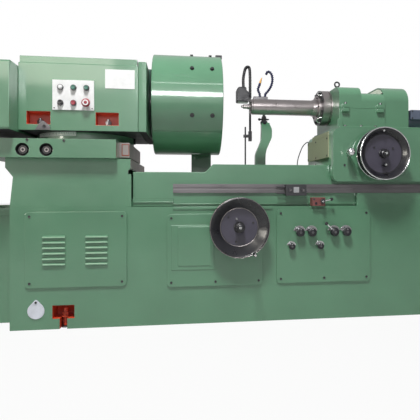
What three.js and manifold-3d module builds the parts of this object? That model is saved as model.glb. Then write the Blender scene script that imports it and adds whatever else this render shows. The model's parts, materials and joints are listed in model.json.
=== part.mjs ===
// Internal grinding machine, in millimetres: X runs along the bed, Y from the operator to the rear, Z up.
// Places are measured from the front left lower corner of the bed. The group is then centred on the floor.

import * as THREE from 'three';
import { mergeVertices } from 'three/addons/utils/BufferGeometryUtils.js';
import Module from 'manifold-3d';

const wasm = await Module();
wasm.setup();

// Fits shared by all pieces
const gap = 0.3;
const overrun = 5;
const turnSides = 20;
const wheelSides = 32;
const smallSides = 10;
const archSides = 6;
const tubeSides = 8;

// Common centre line of the work spindle and the grinding spindle
const axisY = 330;
const axisZ = 1197;

// Bed casting
const bed = {
  length: 2650, depth: 700, deck: 605, wall: 22, roof: 30, cell: 265, rows: 3,
  lipStart: 1779, lipHeight: 674, lipThick: 10,
  ledgeStart: 600, ledgeFront: 492, ledgeHeight: 700,
};
const way = { start: 285, frontY: 120, frontHalf: 34, rearY: 410, rearHalf: 30, height: 38, flat: 10 };
const foot = {
  inset: 252, width: 105, floor: 52, top: 118, depth: 80, wall: 16, slot: 36,
};

// Workhead bridge, the raised left end of the bed
const bridge = {
  right: 565, top: 847, neck: 15, neckTop: 754, flare: 21, flareTop: 800, rightFlare: 12,
  tunnelFront: 10, tunnelRear: 490, tunnelRoof: 795, wall: 30,
};

// Panels screwed on the front of the bed
const panel = { thick: 8, radius: 22, sides: 3 };
const louvrePanel = { left: 71, right: 560, low: 207, high: 582 };
const louvre = {
  firstLeft: 156, pitchX: 204, width: 107, low: 316, pitchZ: 27, height: 12, proud: 9, rows: 6, columns: 2,
};
const drivePanel = { left: 760, right: 1257, low: 194, high: 567 };
const frameRaise = { left: 784, right: 1000, low: 280, high: 509, proud: 3, inset: 32, innerProud: 6 };
const hydraulicPanel = { left: 1332, right: 1850, low: 199, high: 589 };

// Disc that hangs from one screw and closes a plug hole
const disc = { x: 123, z: 94, radius: 40, thick: 4, neck: 12, pivotRise: 36, screwRadius: 4, screwHead: 7 };

// Knobs of the hydraulic panel
const knob = { radius: 24, length: 30, stem: 5, stemClear: 5.6, waist: 20, upperZ: 467 };
const throttle = { radius: 18, length: 24, stem: 4, stemClear: 4.6, waist: 15, lowerZ: 393 };
const knobX = { pressure: 1455, speedLeft: 1520, reversing: 1644, speedRight: 1711 };
const throttleX = { left: 1411, right: 1567 };
const reversingLever = { reach: 48, rise: 46, rod: 4, ball: 9 };

// Start valve under the table edge
const startValve = {
  left: 1520, right: 1591, high: 650, front: 28, rear: 18,
  pivotX: 1575, pivotZ: 630, boss: 12, bossLength: 12, rod: 3.5, ballX: 1623, ballZ: 641, ball: 9,
};

// Table and what is fixed to it
const table = {
  left: 595, right: 2400, front: 20, rear: 470, leftTop: 783, top: 825, slopeStart: 955, slopeEnd: 997,
  skirtLeft: 790, skirtLow: 615, skirtThick: 12, channelFront: 180, channelRear: 350, channelHeight: 112,
};
const rail = { low: 674, high: 721, thick: 7.5, slotWidth: 9, slotDepth: 4 };
const dog = {
  left: 1379, right: 1491, low: 660, high: 719, thick: 30, prongLength: 48, prongHeight: 6, prongThick: 8,
  prongInset: 10, clear: 0.5,
};
const cylinder = {
  left: 1060, right: 1700, y: 265, rise: 60, radius: 34, bore: 27, cap: 18, rod: 12, rodClear: 12.6,
  seatWidth: 50, seatLength: 40, seatInset: 60, pistonX: 1400, pistonLength: 34, pistonClear: 0.5,
  lugLeft: 2335, lugThick: 28, lugHalf: 36, lugDrop: 25,
};

// Cross-feed box on the right half of the table
const feedBox = {
  left: 1632, right: 2320, front: -30, rear: 400, low: 735, high: 1019, radius: 34, wall: 18, rib: 20,
  ribX: [1850, 2076], coverFront: 90, coverRear: 372, coverLow: 870, coverHigh: 985, coverThick: 5,
};
const pullKnob = { x: 1713, z: 890, radius: 23, length: 48, stem: 8, stemClear: 8.4, stemDepth: 60,
  standOff: 14 };

// Handwheels: dished discs on a shaft
const traverseWheel = {
  x: 1128, z: 499, radius: 155, rim: 9, dish: 44, web: 9, floorRadius: 98, hub: 24, hubLength: 62,
  standOff: 22,
  shaft: 14, shaftClear: 14.6, shaftDepth: 85, pinion: 25, pinionLength: 26, pinionStart: 45,
  handleX: 68, handleZ: -131, handleRadius: 9, handleLength: 62,
};
const feedWheel = {
  x: 1886, z: 881, radius: 138, rim: 8, dish: 34, web: 8, floorRadius: 104, hub: 22, hubLength: 44,
  standOff: 46,
  shaft: 12, shaftClear: 12.6, shaftDepth: 350, collar: 112, collarThick: 26, collarGap: 8,
  handleX: -4, handleZ: -60, handleRadius: 13, handleLength: 40,
};

// Wheelhead on its cross slide
const wheelhead = {
  left: 1730, right: 2008, front: 130, rear: 520, shoulder: 60, top: 1294, lowShoulderX: 1862,
  lowShoulderDrop: 32,
  partDrop: 35,
  slideLeft: 1700, slideRight: 2400, slideFront: 62, slideRear: 490, slideTop: 1047, wall: 50,
  cavityTop: 1120,
  cavityLeft: 1760, cavityRight: 1960, eyeX: 1795, eyeStem: 7, eyeRise: 40, eyeRadius: 15, eyeWire: 5,
};
const quill = {
  tip: 1245, radius: 47, collar: 44, collarLength: 12, bore: 30, flange: 105.5, flangeLeft: 1672, spigot: 52,
  spigotRight: 1980, step: 76, stepLength: 16,
};
const wheelShaft = {
  radius: 20, arborTip: 1190, arbor: 13, groove: 7, grooveLength: 8, pulley: 45, pulleyLeft: 2030,
  pulleyRight: 2080,
  knob: 19, knobLength: 18, right: 2160,
};
const ballRace = { outer: 29.6, inner: 20.4, width: 40, inset: 20 };
const beltCover = {
  right: 2159, front: 140, rear: 500, top: 1308, shoulder: 100, wall: 7, shaftClear: 21.5, motorClear: 20,
};
const wheelMotor = {
  y: 235, z: 1108, radius: 58, left: 2171, right: 2388, shaft: 12, pulley: 48, rotorInset: 14, footHalf: 50,
  footLength: 150, boxInset: 16, boxWidth: 96, boxProud: 16, boxLow: 2, boxHigh: 60,
};
const belt = { thick: 7, clear: 0.6, width: 36 };

// Workhead: cross slide, swivelling housing, spindle
const crossSlide = {
  left: -150, right: 513, front: -40, rear: 600, top: 940, boreZ: 886, boreRadius: 31, boreDepth: 34,
  boltX: 73, boltPitch: 110, boltRadius: 21, boltLength: 24,
};
const workhead = {
  left: 39, right: 615, front: 0, rear: 560, low: 985, top: 1353, lidStep: 34, lidInset: 5, wall: 36,
  frontWall: 14,
  ribLeft: 300, ribRight: 322, roof: 16, floor: 14, cableHole: 24, pivotX: 300, pivotY: 290,
  swivelRadius: 258,
  journalBore: 85, windowWidth: 110, windowLow: 1016, windowHigh: 1078, windowDepth: 42, windowWall: 8,
  windowLeft: 79, windowRight: 408, noseRadius: 198, noseLength: 45,
};
const endBox = { left: -262, front: -100, rear: 500, low: 974, high: 1300, wall: 9, radius: 12 };
const buttonPlate = { left: 201, right: 400, low: 1087, high: 1236, thick: 6 };
const button = {
  columnX: 240, pitchX: 62, upperZ: 1198, lowerZ: 1122, bezel: 14.5, bezelLength: 8, cap: 11, capLength: 7,
  mushroom: 21, mushroomLength: 12, travelRoom: 5, clear: 0.3,
};
const workSpindle = {
  left: -196, right: 690, radius: 52, tail: 34, pulley: 68, pulleyLeft: -172, pulleyRight: -132, nose: 78,
  noseLeft: 618, nosePilot: 60, pilotLeft: 642,
};
const workRace = { outer: 85.6, inner: 52.3 };
const workMotor = {
  y: 140, z: 1192, radius: 74, right: 286, shaft: 13, shaftClear: 16, pulley: 44, bossLength: 20,
};
const chuck = {
  radius: 160, right: 792, rimChamfer: 6, jawInner: 62, jawOuter: 150, jawHalf: 17, jawStep: 26,
  jawHeight: 58, jawStepRadius: 104,
};
const jawCount = 3;

// Chuck guard: a drum split by a slanted seam, hinged at the top rear
const drum = {
  left: 675, right: 1055, drop: 9, radius: 287, wall: 6, leftHole: 150, rightHole: 220, sides: 36,
  hinge: 10, hingeSink: 2.5, hingePin: 4, pinClear: 4.6, coverLeft: 745, coverRight: 985, endLeft: 702,
  endRight: 1028,
  knuckleClear: 1, seamDrop: 209.9, hingeRise: 255,
};
const post = { left: 893, right: 1017, front: 504, rear: 582, padProud: 16, padHeight: 14 };

// Work lamp, coolant bracket and hoses stand in one plane behind the table
const standY = 560;
const lamp = {
  baseLeft: 1228, baseRight: 1300, baseHalf: 34, baseHeight: 30, rodX: 1250, rodRadius: 5, rodTop: 1110,
  barLeft: 1275, barRight: 1289, barLow: 1015, barTop: 1305, sleeveProud: 4, sleeveHeight: 67, clampLow: 1040,
  clampHeight: 18, clampHalf: 12, neckRadius: 10, headThick: 74,
};
const neckSteps = 22;
const lampNeck = { startX: 1282, startZ: 1303, crestX: 1268, crestZ: 1508, endX: 1237, endZ: 1378,
  bulge: 16 };
const lampHead = { left: 1190, right: 1272, low: 1272, high: 1368, shoulder: 1345, corner: 14 };
const bracket = {
  half: 20, baseLeft: 1315, baseRight: 1384, bendLow: 930, topLeft: 1356, topRight: 1427, bendHigh: 1035,
  straightTop: 1096, neckLeft: 1359, neckRight: 1410, top: 1138, flangeProud: 20, flangeHeight: 16,
};
const manifold = {
  cockLeft: 1343, cockRight: 1409, cockTop: 1182, cockHalf: 18, pipeX: 1376, pipeRadius: 9, barLeft: 1304,
  barRight: 1400, barLow: 1291, barTop: 1313, barHalf: 13,
};
const hose = {
  radius: 9, valley: 7, bore: 3.5, pitch: 14, leftX: 1348, rightX: 1384,
  leftBends: [[1338, 1350], [1334, 1366], [1341, 1378]], leftTip: [1347, 1396],
  rightBends: [[1403, 1352], [1424, 1385], [1434, 1425], [1429, 1464], [1412, 1484], [1396, 1480]],
  rightTip: [1392, 1462],
};
const nozzle = { length: 46, radius: 8 };

// Coolant tank at the left end
const tank = {
  left: -310, front: 130, rear: 600, top: 565, wall: 12, trayHeight: 32, trayWall: 6, trayProud: 10,
  rows: 2,
};

// Materials
const paint = new THREE.MeshStandardMaterial({ color: 0x5f9477, roughness: 0.45, metalness: 0.1 });
const steel = new THREE.MeshStandardMaterial({ color: 0x9c958f, roughness: 0.35, metalness: 0.9 });
const darkSteel = new THREE.MeshStandardMaterial({ color: 0x3b3b40, roughness: 0.5, metalness: 0.6 });
const chrome = new THREE.MeshStandardMaterial({ color: 0xd6d8da, roughness: 0.15, metalness: 1 });
const blackPlastic = new THREE.MeshStandardMaterial({ color: 0x17171b, roughness: 0.35, metalness: 0 });
const rubber = new THREE.MeshStandardMaterial({ color: 0x1d1d26, roughness: 0.7, metalness: 0 });
const redPaint = new THREE.MeshStandardMaterial({ color: 0x9a4a44, roughness: 0.5, metalness: 0.1 });
const redPlastic = new THREE.MeshStandardMaterial({ color: 0xb01f1f, roughness: 0.35, metalness: 0 });
const greenPlastic = new THREE.MeshStandardMaterial({ color: 0x1f7a4b, roughness: 0.35, metalness: 0 });
const whitePlate = new THREE.MeshStandardMaterial({ color: 0xf1f3f2, roughness: 0.4, metalness: 0 });
const bluePaint = new THREE.MeshStandardMaterial({ color: 0x4d5570, roughness: 0.5, metalness: 0.2 });
const bluePlastic = new THREE.MeshStandardMaterial({ color: 0x20264a, roughness: 0.5, metalness: 0 });
const greyPlate = new THREE.MeshStandardMaterial({ color: 0xaab5ad, roughness: 0.5, metalness: 0.2 });

// Closed geometry: shared points merged, empty triangles dropped, faces turned outwards
function closed(geometry) {
  const bare = geometry.clone();
  bare.deleteAttribute('normal');
  bare.deleteAttribute('uv');
  const merged = mergeVertices(bare);
  const index = merged.index.array;
  const kept = [];
  for (let i = 0; i < index.length; i += 3) {
    const [a, b, c] = [index[i], index[i + 1], index[i + 2]];
    if (a !== b && b !== c && a !== c) kept.push(a, b, c);
  }
  if (signedVolume(merged.attributes.position, kept) < 0) kept.reverse();
  const result = new THREE.BufferGeometry();
  result.setAttribute('position', merged.attributes.position);
  result.setIndex(kept);
  return result;
}

function signedVolume(position, index) {
  const a = new THREE.Vector3();
  const b = new THREE.Vector3();
  const c = new THREE.Vector3();
  let sum = 0;
  for (let i = 0; i < index.length; i += 3) {
    a.fromBufferAttribute(position, index[i]);
    b.fromBufferAttribute(position, index[i + 1]);
    c.fromBufferAttribute(position, index[i + 2]);
    sum += a.dot(b.cross(c));
  }
  return sum;
}

// Boolean joins and cuts
function solid(geometry) {
  const clean = closed(geometry);
  return new wasm.Manifold(new wasm.Mesh({
    numProp: 3,
    vertProperties: new Float32Array(clean.attributes.position.array),
    triVerts: new Uint32Array(clean.index.array),
  }));
}

function fromSolid(body) {
  const mesh = body.getMesh();
  const geometry = new THREE.BufferGeometry();
  geometry.setAttribute('position', new THREE.BufferAttribute(new Float32Array(mesh.vertProperties), 3));
  geometry.setIndex(Array.from(mesh.triVerts));
  return geometry;
}

function join(...pieces) {
  return fromSolid(pieces.map(solid).reduce((sum, piece) => sum.add(piece)));
}

function cut(base, ...tools) {
  return fromSolid(tools.map(solid).reduce((rest, tool) => rest.subtract(tool), solid(base)));
}

function common(base, tool) {
  return fromSolid(solid(base).intersect(solid(tool)));
}

// A box between a low and a high value on each axis
function block([x0, x1], [y0, y1], [z0, z1]) {
  const box = new THREE.BoxGeometry(x1 - x0, y1 - y0, z1 - z0);
  return box.translate((x0 + x1) / 2, (y0 + y1) / 2, (z0 + z1) / 2);
}

const toXZ = new THREE.Matrix4().makeBasis(
  new THREE.Vector3(1, 0, 0), new THREE.Vector3(0, 0, 1), new THREE.Vector3(0, -1, 0));
const toYZ = new THREE.Matrix4().makeBasis(
  new THREE.Vector3(0, 1, 0), new THREE.Vector3(0, 0, 1), new THREE.Vector3(1, 0, 0));

function extruded(shape, depth, curveSegments) {
  return new THREE.ExtrudeGeometry(shape, { depth, bevelEnabled: false, curveSegments });
}

// Outline in X and Z, drawn out from y0 to y1
function alongY(shape, y0, y1, curveSegments = panel.sides) {
  return extruded(shape, y1 - y0, curveSegments).applyMatrix4(toXZ).translate(0, y1, 0);
}

// Outline in Y and Z, drawn out from x0 to x1
function alongX(shape, x0, x1, curveSegments = panel.sides) {
  return extruded(shape, x1 - x0, curveSegments).applyMatrix4(toYZ).translate(x0, 0, 0);
}

function outline(points) {
  return new THREE.Shape(points.map(([u, v]) => new THREE.Vector2(u, v)));
}

// Rectangle with a radius at each corner, lower corners first, and zero for a sharp one
function rounded([u0, u1], [v0, v1], lowRadius, highRadius = lowRadius) {
  const shape = new THREE.Shape();
  const corner = (u, v, radius, start) => {
    if (radius > 0) shape.absarc(u, v, radius, start, start + Math.PI / 2);
    else shape.lineTo(u, v);
  };
  shape.moveTo(u0 + lowRadius, v0);
  corner(u1 - lowRadius, v0 + lowRadius, lowRadius, -Math.PI / 2);
  corner(u1 - highRadius, v1 - highRadius, highRadius, 0);
  corner(u0 + highRadius, v1 - highRadius, highRadius, Math.PI / 2);
  corner(u0 + lowRadius, v0 + lowRadius, lowRadius, Math.PI);
  return shape;
}

// Profile of [radius, place] pairs turned about a line along X, Y or Z through the given point
function turned(profile, axis, [x, y, z], sides = turnSides) {
  const lathe = new THREE.LatheGeometry(profile.map(([r, h]) => new THREE.Vector2(r, h)), sides);
  if (axis === 'x') lathe.rotateZ(-Math.PI / 2);
  if (axis === 'z') lathe.rotateX(Math.PI / 2);
  return closed(lathe.translate(x, y, z));
}

function rod(radius, [from, to], axis, centre, sides = turnSides) {
  return turned([[0, from], [radius, from], [radius, to], [0, to]], axis, centre, sides);
}

// A hole whose flat sides all lie outside the given radius
function hole(radius, span, axis, centre, sides = turnSides) {
  return rod(radius / Math.cos(Math.PI / sides), span, axis, centre, sides);
}

function ring(inner, outer, [from, to], axis, centre, sides = turnSides) {
  const bore = inner / Math.cos(Math.PI / sides);
  return turned([[bore, from], [outer, from], [outer, to], [bore, to], [bore, from]], axis, centre, sides);
}

// Round bar between two points
function strut(radius, start, end, sides = smallSides) {
  const from = new THREE.Vector3(...start);
  const to = new THREE.Vector3(...end);
  const bar = new THREE.CylinderGeometry(radius, radius, from.distanceTo(to), sides);
  const turn = new THREE.Quaternion().setFromUnitVectors(
    new THREE.Vector3(0, 1, 0), to.clone().sub(from).normalize());
  const middle = from.clone().add(to).multiplyScalar(1 / 2);
  return bar.applyQuaternion(turn).translate(middle.x, middle.y, middle.z);
}

function ball(radius, [x, y, z]) {
  return new THREE.SphereGeometry(radius, smallSides, smallSides / 2).translate(x, y, z);
}

// Cells between ribs, at most one pitch wide, inside a rectangle
function cells([x0, x1], [y0, y1], [z0, z1], pitch, rows, wall) {
  const columns = Math.ceil((x1 - x0) / pitch);
  const stepX = (x1 - x0 - wall) / columns;
  const stepY = (y1 - y0 - wall) / rows;
  const boxes = [];
  for (let i = 0; i < columns; i += 1) {
    for (let j = 0; j < rows; j += 1) {
      const left = x0 + wall + i * stepX;
      const front = y0 + wall + j * stepY;
      boxes.push(block([left, left + stepX - wall], [front, front + stepY - wall], [z0, z1]));
    }
  }
  return boxes;
}

const machine = new THREE.Group();

// Moving groups are placed at their joints, so that each piece turns or slides about its own group
function groupAt(name, parent, x, y, z) {
  const group = new THREE.Group();
  const base = parent.userData.place ?? [0, 0, 0];
  group.position.set(x - base[0], y - base[1], z - base[2]);
  group.userData.place = [x, y, z];
  group.name = name;
  parent.add(group);
  return group;
}

// A named piece, drawn in machine places and hung in its group
function add(group, name, geometry, material) {
  const place = group.userData.place ?? [0, 0, 0];
  const mesh = new THREE.Mesh(closed(geometry).translate(-place[0], -place[1], -place[2]), material);
  mesh.geometry.computeVertexNormals();
  mesh.name = name;
  group.add(mesh);
  return mesh;
}

// Bed casting with cells open to the floor, two ways, a front lip and a rear ledge
const footPlaces = [
  [foot.inset, 1], [bed.length - foot.inset, 1], [foot.inset, -1], [bed.length - foot.inset, -1],
];

function acrossFoot(side, from, to) {
  return side > 0 ? [from, to] : [bed.depth - to, bed.depth - from];
}

function bedCasting() {
  const base = block([0, bed.length], [0, bed.depth], [0, bed.deck]);
  const hollows = cells([0, bed.length], [0, bed.depth], [-overrun, bed.deck - bed.roof],
    bed.cell, bed.rows, bed.wall);
  const lip = block([bed.lipStart, bed.length], [0, bed.lipThick], [bed.deck - overrun, bed.lipHeight]);
  const ledge = block([bed.ledgeStart, bed.length], [bed.ledgeFront, bed.depth],
    [bed.deck - overrun, bed.ledgeHeight]);
  const top = bed.deck + way.height;
  const frontWay = outline([
    [way.frontY - way.frontHalf, bed.deck - overrun], [way.frontY + way.frontHalf, bed.deck - overrun],
    [way.frontY + way.frontHalf, bed.deck], [way.frontY + way.flat, top],
    [way.frontY - way.flat, top], [way.frontY - way.frontHalf, bed.deck],
  ]);
  const rearWay = block([way.start, bed.length], [way.rearY - way.rearHalf, way.rearY + way.rearHalf],
    [bed.deck - overrun, top]);
  const bosses = footPlaces.map(([x, side]) => block(
    [x - foot.width / 2 - foot.wall, x + foot.width / 2 + foot.wall],
    acrossFoot(side, overrun, foot.depth + foot.wall), [0, foot.top + foot.wall]));
  const pockets = footPlaces.flatMap(([x, side]) => [
    block([x - foot.width / 2, x + foot.width / 2], acrossFoot(side, -overrun, foot.depth),
      [foot.floor, foot.top]),
    block([x - foot.slot / 2, x + foot.slot / 2], acrossFoot(side, -overrun, foot.depth / 2 + foot.slot / 2),
      [-overrun, foot.floor + overrun]),
  ]);
  const shaftHole = hole(traverseWheel.shaftClear, [-overrun, bed.wall + overrun], 'y',
    [traverseWheel.x, 0, traverseWheel.z]);
  const hollowed = cut(base, ...hollows);
  const full = join(hollowed, lip, ledge, alongX(frontWay, way.start, bed.length), rearWay, ...bosses);
  return cut(full, ...pockets, shaftHole);
}

function workheadBridge() {
  const shape = outline([
    [0, bed.deck + gap], [bridge.right, bed.deck + gap], [bridge.right, bridge.flareTop - bridge.rightFlare],
    [bridge.right + bridge.rightFlare, bridge.flareTop], [bridge.right + bridge.rightFlare, bridge.top],
    [-bridge.flare, bridge.top], [-bridge.flare, bridge.flareTop], [bridge.neck, bridge.neckTop],
  ]);
  const tunnel = block([way.start - gap, bridge.right + bridge.rightFlare + overrun],
    [bridge.tunnelFront, bridge.tunnelRear], [bed.deck - overrun, bridge.tunnelRoof]);
  const hollows = cells([bridge.neck, way.start], [0, bed.depth],
    [bed.deck - overrun, bridge.tunnelRoof], bed.cell + bridge.wall, bed.rows, bridge.wall);
  return cut(alongY(shape, 0, bed.depth), tunnel, ...hollows);
}

add(machine, 'bed_casting', bedCasting(), paint);
add(machine, 'workhead_bridge', workheadBridge(), paint);

// Front panels
function plate(box, extra = [], holes = []) {
  const face = alongY(rounded([box.left, box.right], [box.low, box.high], panel.radius), -panel.thick, -gap);
  const whole = extra.length > 0 ? join(face, ...extra) : face;
  return holes.length > 0 ? cut(whole, ...holes) : whole;
}

function louvres() {
  const hoods = [];
  for (let column = 0; column < louvre.columns; column += 1) {
    for (let row = 0; row < louvre.rows; row += 1) {
      const left = louvre.firstLeft + column * louvre.pitchX;
      const low = louvre.low + row * louvre.pitchZ;
      const hood = outline([
        [-panel.thick - louvre.proud, low], [-panel.thick + panel.thick / 2, low],
        [-panel.thick + panel.thick / 2, low + louvre.height], [-panel.thick, low + louvre.height],
      ]);
      hoods.push(alongX(hood, left, left + louvre.width));
    }
  }
  return hoods;
}

function raisedFrame() {
  const front = -panel.thick - frameRaise.proud;
  return [
    block([frameRaise.left, frameRaise.right], [front, -gap - panel.thick / 2],
      [frameRaise.low, frameRaise.high]),
    block([frameRaise.left + frameRaise.inset, frameRaise.right - frameRaise.inset / 2],
      [-panel.thick - frameRaise.innerProud, -panel.thick / 2],
      [frameRaise.low + frameRaise.inset * 2 / 3, frameRaise.high - frameRaise.inset / 4]),
  ];
}

const bigKnobs = Object.values(knobX).map((x) => [x, knob.upperZ, knob.stemClear]);
const smallKnobs = Object.values(throttleX).map((x) => [x, throttle.lowerZ, throttle.stemClear]);
const knobHoles = [...bigKnobs, ...smallKnobs].map(([x, z, radius]) => hole(
  radius, [-panel.thick - overrun, overrun], 'y', [x, 0, z], smallSides));

add(machine, 'louvre_panel', plate(louvrePanel, louvres()), paint);
const driveHole = hole(traverseWheel.shaftClear, [-panel.thick - overrun, overrun], 'y',
  [traverseWheel.x, 0, traverseWheel.z]);
add(machine, 'drive_panel', plate(drivePanel, raisedFrame(), [driveHole]), paint);
add(machine, 'hydraulic_panel', plate(hydraulicPanel, [], knobHoles), paint);

// Hanging disc with its screw head
function discCover() {
  const pivotZ = disc.z + disc.pivotRise;
  const front = -disc.thick - gap;
  const round = rod(disc.radius, [front, -gap], 'y', [disc.x, 0, disc.z]);
  const ear = rod(disc.neck, [front, -gap], 'y', [disc.x, 0, pivotZ + disc.neck / 2], smallSides);
  const head = rod(disc.screwHead, [front - disc.screwRadius, front + disc.thick / 2], 'y',
    [disc.x, 0, pivotZ + disc.neck / 2], smallSides);
  return join(round, ear, head);
}

const discGroup = groupAt('disc_cover_joint', machine, disc.x, 0, disc.z + disc.pivotRise + disc.neck / 2);
add(discGroup, 'disc_cover', discCover(), greyPlate);

// Knobs: a waisted body on a stem through the panel
function knobBody(size, x, z) {
  const back = -panel.thick - gap;
  const front = back - size.length;
  return turned([
    [0, front], [size.waist, front], [size.radius, front + size.length / 4],
    [size.radius, back - size.length / 3],
    [size.waist, back], [size.stem, back], [size.stem, -gap * 2], [0, -gap * 2],
  ], 'y', [x, 0, z], smallSides);
}

function leverArm() {
  const y = -panel.thick - knob.length * 2 / 3;
  const end = [knobX.reversing - reversingLever.reach, y, knob.upperZ + reversingLever.rise];
  return [strut(reversingLever.rod, [knobX.reversing, y, knob.upperZ], end), ball(reversingLever.ball, end)];
}

const knobNames = {
  pressure_knob: knobX.pressure, table_speed_knob: knobX.speedLeft, reversing_lever: knobX.reversing,
  feed_speed_knob: knobX.speedRight,
};
for (const [name, x] of Object.entries(knobNames)) {
  const group = groupAt(`${name}_joint`, machine, x, 0, knob.upperZ);
  const body = knobBody(knob, x, knob.upperZ);
  add(group, name, name === 'reversing_lever' ? join(body, ...leverArm()) : body, blackPlastic);
}
const throttleNames = { left_throttle_knob: throttleX.left, right_throttle_knob: throttleX.right };
for (const [name, x] of Object.entries(throttleNames)) {
  const group = groupAt(`${name}_joint`, machine, x, 0, throttle.lowerZ);
  add(group, name, knobBody(throttle, x, throttle.lowerZ), blackPlastic);
}

// Start valve on the bed edge with its lever
add(machine, 'start_valve', block(
  [startValve.left, startValve.right], [-startValve.front, startValve.rear],
  [bed.deck + gap, startValve.high],
), redPaint);

function startLever() {
  const back = -startValve.front - gap;
  const y = back - startValve.bossLength / 2;
  return join(
    rod(startValve.boss, [back - startValve.bossLength, back], 'y', [startValve.pivotX, 0, startValve.pivotZ],
      smallSides),
    strut(startValve.rod, [startValve.pivotX, y, startValve.pivotZ], [startValve.ballX, y, startValve.ballZ]),
    ball(startValve.ball, [startValve.ballX, y, startValve.ballZ]));
}

const startGroup = groupAt('start_lever_joint', machine, startValve.pivotX, -startValve.front,
  startValve.pivotZ);
add(startGroup, 'start_lever', startLever(), blackPlastic);

// Hydraulic traverse cylinder between the ways
const cylinderZ = bed.deck + cylinder.rise;
const cylinderCentre = [0, cylinder.y, cylinderZ];

function traverseCylinder() {
  const barrel = turned([
    [0, cylinder.left], [cylinder.radius, cylinder.left], [cylinder.radius, cylinder.right],
    [cylinder.rodClear, cylinder.right], [cylinder.rodClear, cylinder.right - cylinder.cap],
    [cylinder.bore, cylinder.right - cylinder.cap], [cylinder.bore, cylinder.left + cylinder.cap],
    [0, cylinder.left + cylinder.cap],
  ], 'x', cylinderCentre);
  const seats = [cylinder.left + cylinder.seatInset,
    cylinder.right - cylinder.seatInset - cylinder.seatLength];
  const feet = seats.map((x) => block([x, x + cylinder.seatLength],
    [cylinder.y - cylinder.seatWidth, cylinder.y + cylinder.seatWidth], [bed.deck + gap, cylinderZ]));
  const saddles = cut(join(...feet),
    rod(cylinder.radius - overrun / 2, [cylinder.left, cylinder.right], 'x', cylinderCentre));
  return join(barrel, saddles);
}

add(machine, 'traverse_cylinder', traverseCylinder(), darkSteel);

// Table
const tableGroup = groupAt('table_joint', machine, 0, 0, 0);
const tableLow = bed.deck + way.height + gap;
const channelRoof = tableLow + table.channelHeight;

function tableCasting() {
  const shape = outline([
    [table.left, tableLow], [table.right, tableLow], [table.right, table.top], [table.slopeEnd, table.top],
    [table.slopeStart, table.leftTop], [table.left, table.leftTop],
  ]);
  const skirt = block([table.skirtLeft, table.right], [table.front, table.front + table.skirtThick],
    [table.skirtLow, tableLow + overrun]);
  const channel = block([table.left - overrun, table.right + overrun],
    [table.channelFront, table.channelRear],
    [tableLow - overrun, channelRoof]);
  return cut(join(alongY(shape, table.front, table.rear), skirt), channel);
}

function dogRail() {
  const back = table.front - gap;
  const bar = block([table.skirtLeft, table.right], [back - rail.thick, back], [rail.low + gap, rail.high]);
  const middle = (rail.low + rail.high) / 2;
  const slot = block([table.skirtLeft - overrun, table.right + overrun],
    [back - rail.thick - overrun, back - rail.thick + rail.slotDepth],
    [middle - rail.slotWidth / 2, middle + rail.slotWidth / 2]);
  return cut(bar, slot);
}

function pistonRod() {
  const lugRight = cylinder.lugLeft + cylinder.lugThick;
  const shaft = turned([
    [0, cylinder.pistonX], [cylinder.bore - cylinder.pistonClear, cylinder.pistonX],
    [cylinder.bore - cylinder.pistonClear, cylinder.pistonX + cylinder.pistonLength],
    [cylinder.rod, cylinder.pistonX + cylinder.pistonLength], [cylinder.rod, cylinder.lugLeft + overrun],
    [0, cylinder.lugLeft + overrun],
  ], 'x', cylinderCentre);
  const lug = block([cylinder.lugLeft, lugRight],
    [cylinder.y - cylinder.lugHalf, cylinder.y + cylinder.lugHalf],
    [cylinderZ - cylinder.lugDrop, channelRoof - gap]);
  return join(shaft, lug);
}

add(tableGroup, 'table_casting', tableCasting(), paint);
add(tableGroup, 'dog_rail', dogRail(), steel);
add(tableGroup, 'piston_rod', pistonRod(), steel);

// Trip dog clamped on the rail
function tripDog() {
  const back = table.front - gap - rail.thick - dog.clear;
  const front = back - dog.thick;
  const body = block([dog.left, dog.right], [front, back], [dog.low, dog.high]);
  const prongs = [dog.low + dog.prongInset, dog.high - dog.prongInset - dog.prongHeight].map((z) => block(
    [dog.left - dog.prongLength, dog.left + overrun],
    [back - dog.thick / 2 - dog.prongThick, back - dog.thick / 2],
    [z, z + dog.prongHeight]));
  return join(body, ...prongs);
}

const dogGroup = groupAt('trip_dog_joint', tableGroup, 0, 0, 0);
add(dogGroup, 'trip_dog', tripDog(), darkSteel);

// Cross-feed box: rounded front, hollow above the table, a cover on its left side
function crossFeedBox() {
  const shell = alongY(rounded([feedBox.left, feedBox.right], [feedBox.low, feedBox.high], feedBox.radius),
    feedBox.front, feedBox.rear);
  const seat = block([feedBox.left - overrun, feedBox.right + overrun],
    [table.front - rail.thick - gap - overrun, feedBox.rear + overrun],
    [feedBox.low - overrun, table.top + gap]);
  const roof = feedBox.high - feedBox.wall;
  const inner = [feedBox.front + feedBox.wall, feedBox.rear - feedBox.wall];
  const high = [table.top - overrun, roof];
  const cellLefts = [feedBox.left + feedBox.wall, ...feedBox.ribX.map((x) => x + feedBox.rib)];
  const cellRights = [...feedBox.ribX, feedBox.right - feedBox.wall];
  const hollows = cellLefts.map((left, i) => block([left, cellRights[i]], inner, high));
  const cover = block([feedBox.left - feedBox.coverThick, feedBox.left + overrun],
    [feedBox.coverFront, feedBox.coverRear], [feedBox.coverLow, feedBox.coverHigh]);
  const frontWall = [feedBox.front - overrun, feedBox.front + feedBox.wall + overrun];
  const screwHole = hole(feedWheel.shaftClear, frontWall, 'y', [feedWheel.x, 0, feedWheel.z]);
  const pullHole = hole(pullKnob.stemClear, frontWall, 'y', [pullKnob.x, 0, pullKnob.z], smallSides);
  return cut(join(cut(shell, seat), cover), ...hollows, screwHole, pullHole);
}

add(tableGroup, 'cross_feed_box', crossFeedBox(), paint);

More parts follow.
